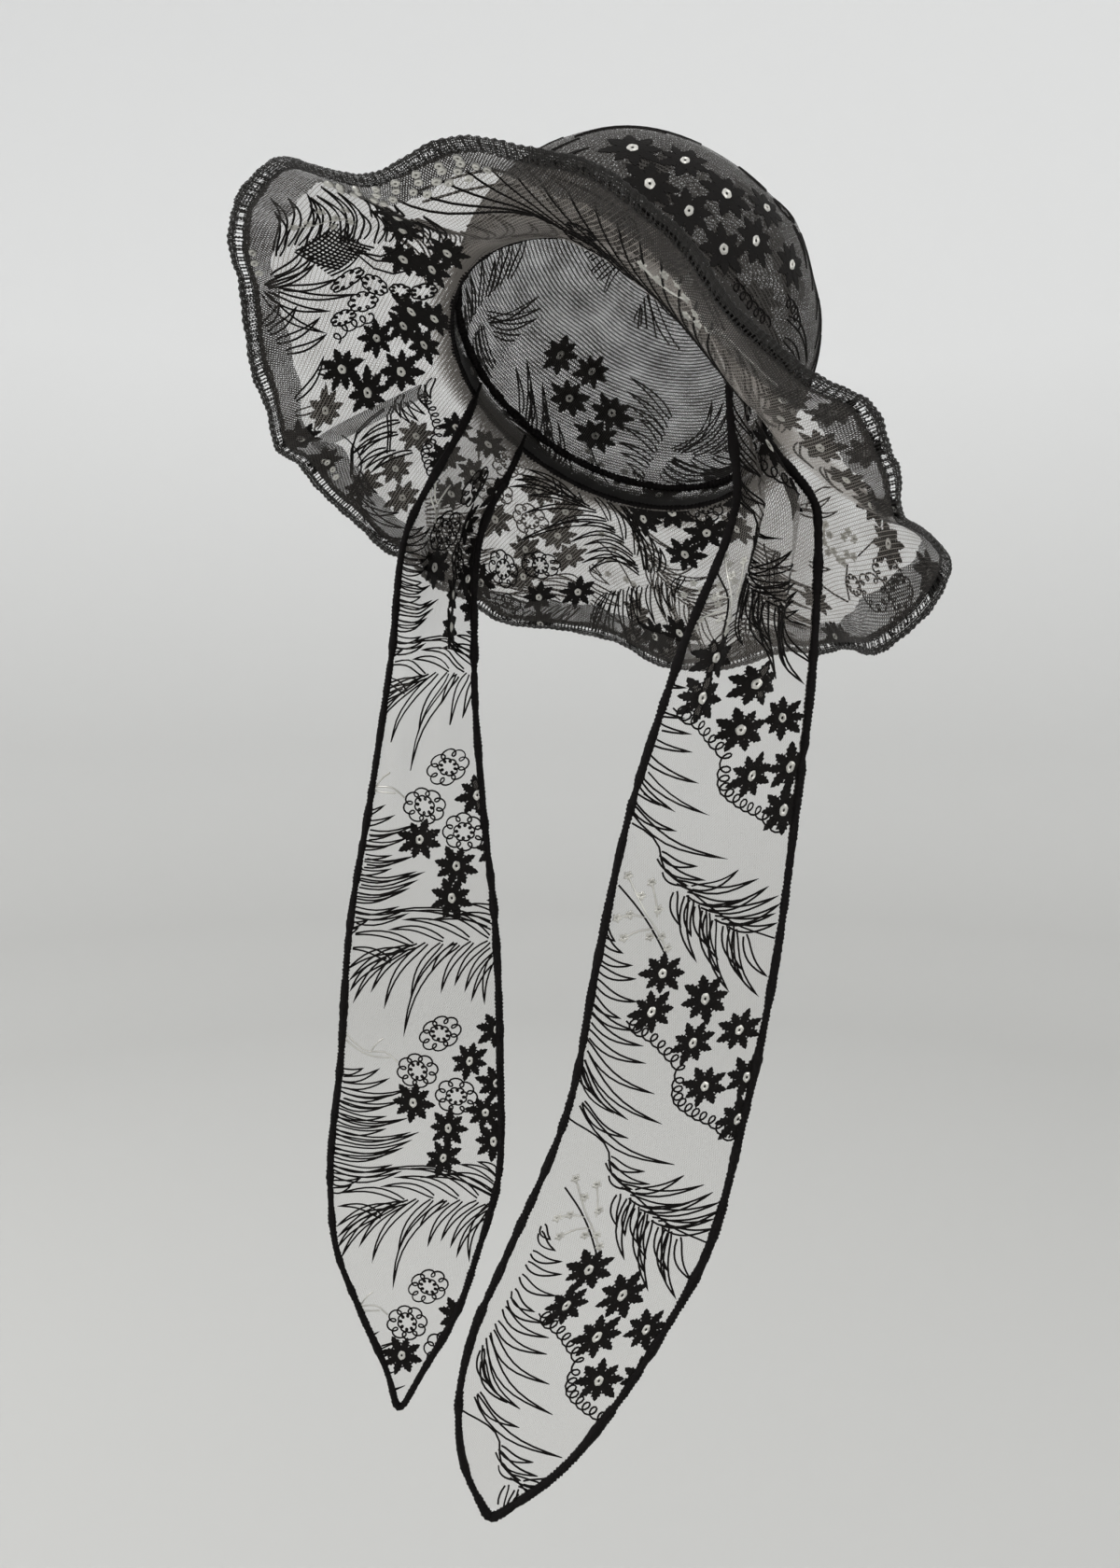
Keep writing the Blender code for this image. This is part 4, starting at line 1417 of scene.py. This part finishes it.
def hatch(patch):
    """A dense patch of crossed strokes."""
    found = []
    for step in np.linspace(0.0, 1.0, patch["strokes"]):
        x, y = patch["x"] + patch["width"] * step, patch["y"] + patch["height"] * step
        top = patch["y"] + patch["height"]
        found.append(blade((x - 3, patch["y"]), (x + 6, top)))
        found.append(blade((patch["x"] - 2, y), (patch["x"] + patch["width"] + 2, y - 3)))
    return found


def spoke(near, far, turn, sweep):
    """Two ends on the flat ring: near at the angle turn and far a sweep further on."""
    ends = ((near, turn), (far, turn + sweep))
    return [reach * np.array([math.cos(a), math.sin(a)]) for reach, a in ends]


def front_strokes():
    """Long thin strokes across the front of the brim, from the hem inwards."""
    return [blade(*spoke(186, 149, turn, 0.27), 0.15) for turn in np.radians(np.arange(-86, -34, 3.5))]


def front_leaves():
    """Slim leaves round the front of the brim, between the crown and the strokes."""
    turns = np.radians(np.arange(-124, -14, 4.5))
    return [
        leaf(*spoke(106, 134 + 9 * (number % 3), turn, 0.17), 1.5, 0.16)
        for number, turn in enumerate(turns)
    ]


BRIM_UNDER_LINES = strip_lines(BRIM_UNDER_CHART) + hatch(HATCH_PATCH) + front_strokes()
BRIM_UPPER_LINES = strip_lines(BRIM_UPPER_CHART) + front_leaves()
print("brim chart", len(BRIM_UNDER_LINES) + len(BRIM_UPPER_LINES), "lines")

# %% [markdown]
# The crown's side is charted as a flat band: the first number runs round it and the second up it.

# %% Chart of the crown's side
CROWN_CHART = dict(
    flowers=[
        (-103, 51), (-82, 55), (-60, 49), (-71, 29), (-50, 23), (-38, 39), (-40, 63), (-14, 49),
        (-90, 33),
    ],
    leaves=[
        ((-150, 20), (-128, 58)), ((-146, 16), (-120, 48)), ((-140, 12), (-112, 36)),
        ((-158, 26), (-142, 70)), ((-132, 62), (-98, 78)), ((-128, 68), (-90, 84)),
        ((-120, 72), (-84, 90)), ((-20, 78), (-2, 62)), ((-12, 84), (10, 60)), ((0, 84), (24, 54)),
        ((14, 80), (36, 46)), ((26, 74), (46, 38)), ((6, 20), (40, 24)), ((4, 12), (36, 14)),
        ((0, 28), (34, 34)), ((-2, 6), (30, 6)), ((40, 60), (58, 30)), ((48, 70), (70, 36)),
        ((60, 76), (82, 44)),
    ],
    lines=[],
    chains=[[(-38, 17), (-24, 16), (-10, 18)], [(-8, 35), (0, 37), (10, 36)]],
    clouds=[((-28, 84), 18, 12, 0.1), ((-52, 86), 20, 11, 0.0), ((56, 16), 22, 16, 0.3)],
    curls=[],
    stems=[],
)
CROWN_LINES = strip_lines(CROWN_CHART)
print("crown chart", len(CROWN_LINES), "lines")

# %% [markdown]
# Now the charts are stitched on. Where nothing is charted, at the back and the far side, the two strips
# of the repeat are laid side by side over the flat cloth, and every motif whose middle falls there is
# kept. Silver knots stand on the hem, so their stamp is lifted clear of it.

# %% Embroidery of the brim and the crown


def tiled(places, strip_number, keep, shift, turn):
    """A strip's places over a wide flat cloth: every second column is this strip. keep says by a
    motif's middle whether the motif is used."""
    found = []
    c, s = math.cos(turn), math.sin(turn)
    for column in range(-2, 3):
        for k in range(-5, 6):
            move = np.array([(2 * column + strip_number) * STRIP + shift[0], k * REPEAT + shift[1]])
            for place in places:
                x, y = (np.asarray(place, float) + move).T
                spot = np.stack([x * c - y * s, x * s + y * c], axis=-1)
                if keep(*np.atleast_2d(spot).mean(axis=0)):
                    found.append(spot)
    return found


def between(low, high, radius=215.0):
    """Keeps a motif of the brim whose middle lies between two angles, in degrees."""
    return lambda x, y: math.hypot(x, y) < radius and low <= math.degrees(math.atan2(y, x)) <= high


def on_crown_side(x, y):
    """Keeps the motifs of the crown's side that lie clear of its charted front."""
    return abs(x) < math.pi * RING_RADIUS and 0 < y < 95 and not -165 < x < 90


def on_crown_top(x, y):
    return math.hypot(x, y) < 80


def cloth_embroidery(name, areas, surface, seed):
    """Stitches on one layer of the crown or the brim. An area is a chart, its limits, the motifs and
    the black lines charted for it, or None, and how the repeat fills the rest: keep, shift and turn."""
    black, silver, pieces = [], [], []
    for part, (chart, limits, charted, lines, fill) in enumerate(areas):
        spots = []
        if charted:
            spots += [np.array(spot, float) for spot in charted["flowers"]]
            black += carried(lines, chart, surface, limits)
            curls = [curl(spot) for spot in charted["curls"]]
            curls += [smooth_line(stem, 3) for stem in charted["stems"]]
            silver += carried(curls, chart, surface, limits)
        for number, (strip, strip_black) in enumerate(STRIPS):
            spots += tiled(strip["flowers"], number, *fill)
            black += carried(tiled(strip_black, number, *fill), chart, surface, limits)
            curls = tiled([curl(spot) for spot in strip["curls"]], number, *fill)
            silver += carried(curls, chart, surface, limits)
        kept = [
            (x, y)
            for x, y in spots
            if all(low <= v <= high for v, (low, high) in zip(chart(x, y), limits))
        ]
        if kept:
            part_name = name + ("_top" if part else "")
            pieces += flowers_on(part_name, kept, chart, surface, limits, seed)
    pieces.append(strands(name + "_stitches", black, BLACK_LINE, black_thread))
    if silver:
        pieces.append(strands(name + "_silver", silver, SILVER_LINE, silver_thread))
    for piece in pieces:
        print(piece.name, len(piece.data.polygons))
    return pieces


EDGE_LIMITS = (ANY, (0.01, 0.97))
SIDE_LIMITS = ((-math.pi, math.pi), (0.01, 0.70))
TOP_LIMITS = ((-math.pi, math.pi), (0.62, 0.99))
upper_fill = (between(62, 180), (20, 30), 0.4)
under_fill = (between(66, 180), (-40, 90), 1.3)
side_fill = (on_crown_side, (10, 60), 0.0)
top_fill = (on_crown_top, (30, 20), 0.7)
upper_area = (brim_chart, EDGE_LIMITS, BRIM_UPPER_CHART, BRIM_UPPER_LINES, upper_fill)
under_area = (brim_chart, EDGE_LIMITS, BRIM_UNDER_CHART, BRIM_UNDER_LINES, under_fill)
side_area = (crown_side_chart, SIDE_LIMITS, CROWN_CHART, CROWN_LINES, side_fill)
top_area = (crown_top_chart, TOP_LIMITS, None, None, top_fill)
embroidery = cloth_embroidery("brim_upper", [upper_area], brim_upper, 21)
embroidery += cloth_embroidery("brim_under", [under_area], brim_under, 22)
embroidery += cloth_embroidery("crown_outer", [side_area, top_area], crown_outer, 23)
KNOT_SIZE = 0.8
KNOT_RISE = 1.7
raised_ring = (RING[0] * KNOT_SIZE + np.array([0, 0, KNOT_RISE]), RING[1])
BEAD_LIMITS = (ANY, (0.01, 0.985))
hem_beads = stamp(
    "hem_silver", raised_ring, HEM_BEADS, brim_chart, brim_under, BEAD_LIMITS, silver_thread, 31
)
print("embroidery pieces", len(embroidery))

# %% [markdown]
# A soft studio: a pale floor that curves up into a wall, a large soft light from the left, and a weaker
# one from the right. Net shows what is behind it, so the wall's brightness matters as much as the lamp.

# %% Studio
scene = bpy.context.scene
scene.cycles.transparent_max_bounces = 32
scene.view_settings.view_transform = "Standard"
FLOOR_PROFILE = [(0, -0.95), (2.2, -0.95), (2.8, -0.8), (3.1, -0.3), (3.2, 2.5)]


def backdrop_material():
    """Pale paper with painted shade: a little darker towards the floor, standing in for its own shadow.
    """
    material, tree = new_material("pale paper")
    place = node(tree, "TexCoord").outputs["Object"]
    height = node(tree, "SeparateXYZ", {0: place}).outputs[2]
    share = node(tree, "MapRange", {"Value": height, "From Min": -0.95, "From Max": 0.9}).outputs[0]
    # Painted shade: the paper's colour darkens towards the floor.
    tint = blend(tree, share, (0.58, 0.58, 0.565), (0.88, 0.885, 0.885))
    shaded(tree, {"Base Color": tint, "Roughness": 0.9})
    return material


def studio_floor():
    """A floor swept up into a round wall, so that no horizon shows from any side."""
    bm = bmesh.new()
    profile = [bm.verts.new((radius, 0, height)) for radius, height in FLOOR_PROFILE]
    edges = [bm.edges.new(pair) for pair in zip(profile, profile[1:])]
    spun(bm, profile + edges, 64)
    bmesh.ops.remove_doubles(bm, verts=bm.verts, dist=1e-4)
    bmesh.ops.recalc_face_normals(bm, faces=bm.faces)
    bmesh.ops.reverse_faces(bm, faces=bm.faces)
    mesh = smooth_mesh("studio_floor", bm)
    floor = bpy.data.objects.new("studio_floor", mesh)
    mesh.materials.append(backdrop_material())
    scene.collection.objects.link(floor)
    floor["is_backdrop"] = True


def soft_light(name, spot, size, power):
    data = bpy.data.lights.new(name, "AREA")
    data.size = size
    data.energy = power
    light = bpy.data.objects.new(name, data)
    light.location = spot
    light.rotation_euler = (Vector((0, 0, -0.2)) - Vector(spot)).to_track_quat("-Z", "Y").to_euler()
    scene.collection.objects.link(light)


studio_floor()
soft_light("left light", (-1.6, -1.5, 1.3), 1.6, 38.0)
soft_light("right light", (1.8, -0.6, 0.6), 1.4, 10.0)
world = bpy.data.worlds.new("studio")
world.use_nodes = True
world.node_tree.nodes["Background"].inputs[0].default_value = (1, 1, 1, 1)
world.node_tree.nodes["Background"].inputs[1].default_value = 0.82
scene.world = world
print("studio is set")

# %% Print the sizes and finish
visual_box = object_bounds()
[[list(map(float, corner)) for corner in box] for box in (cad_box, visual_box)]
print("cad", cad_box, "visual", visual_box)
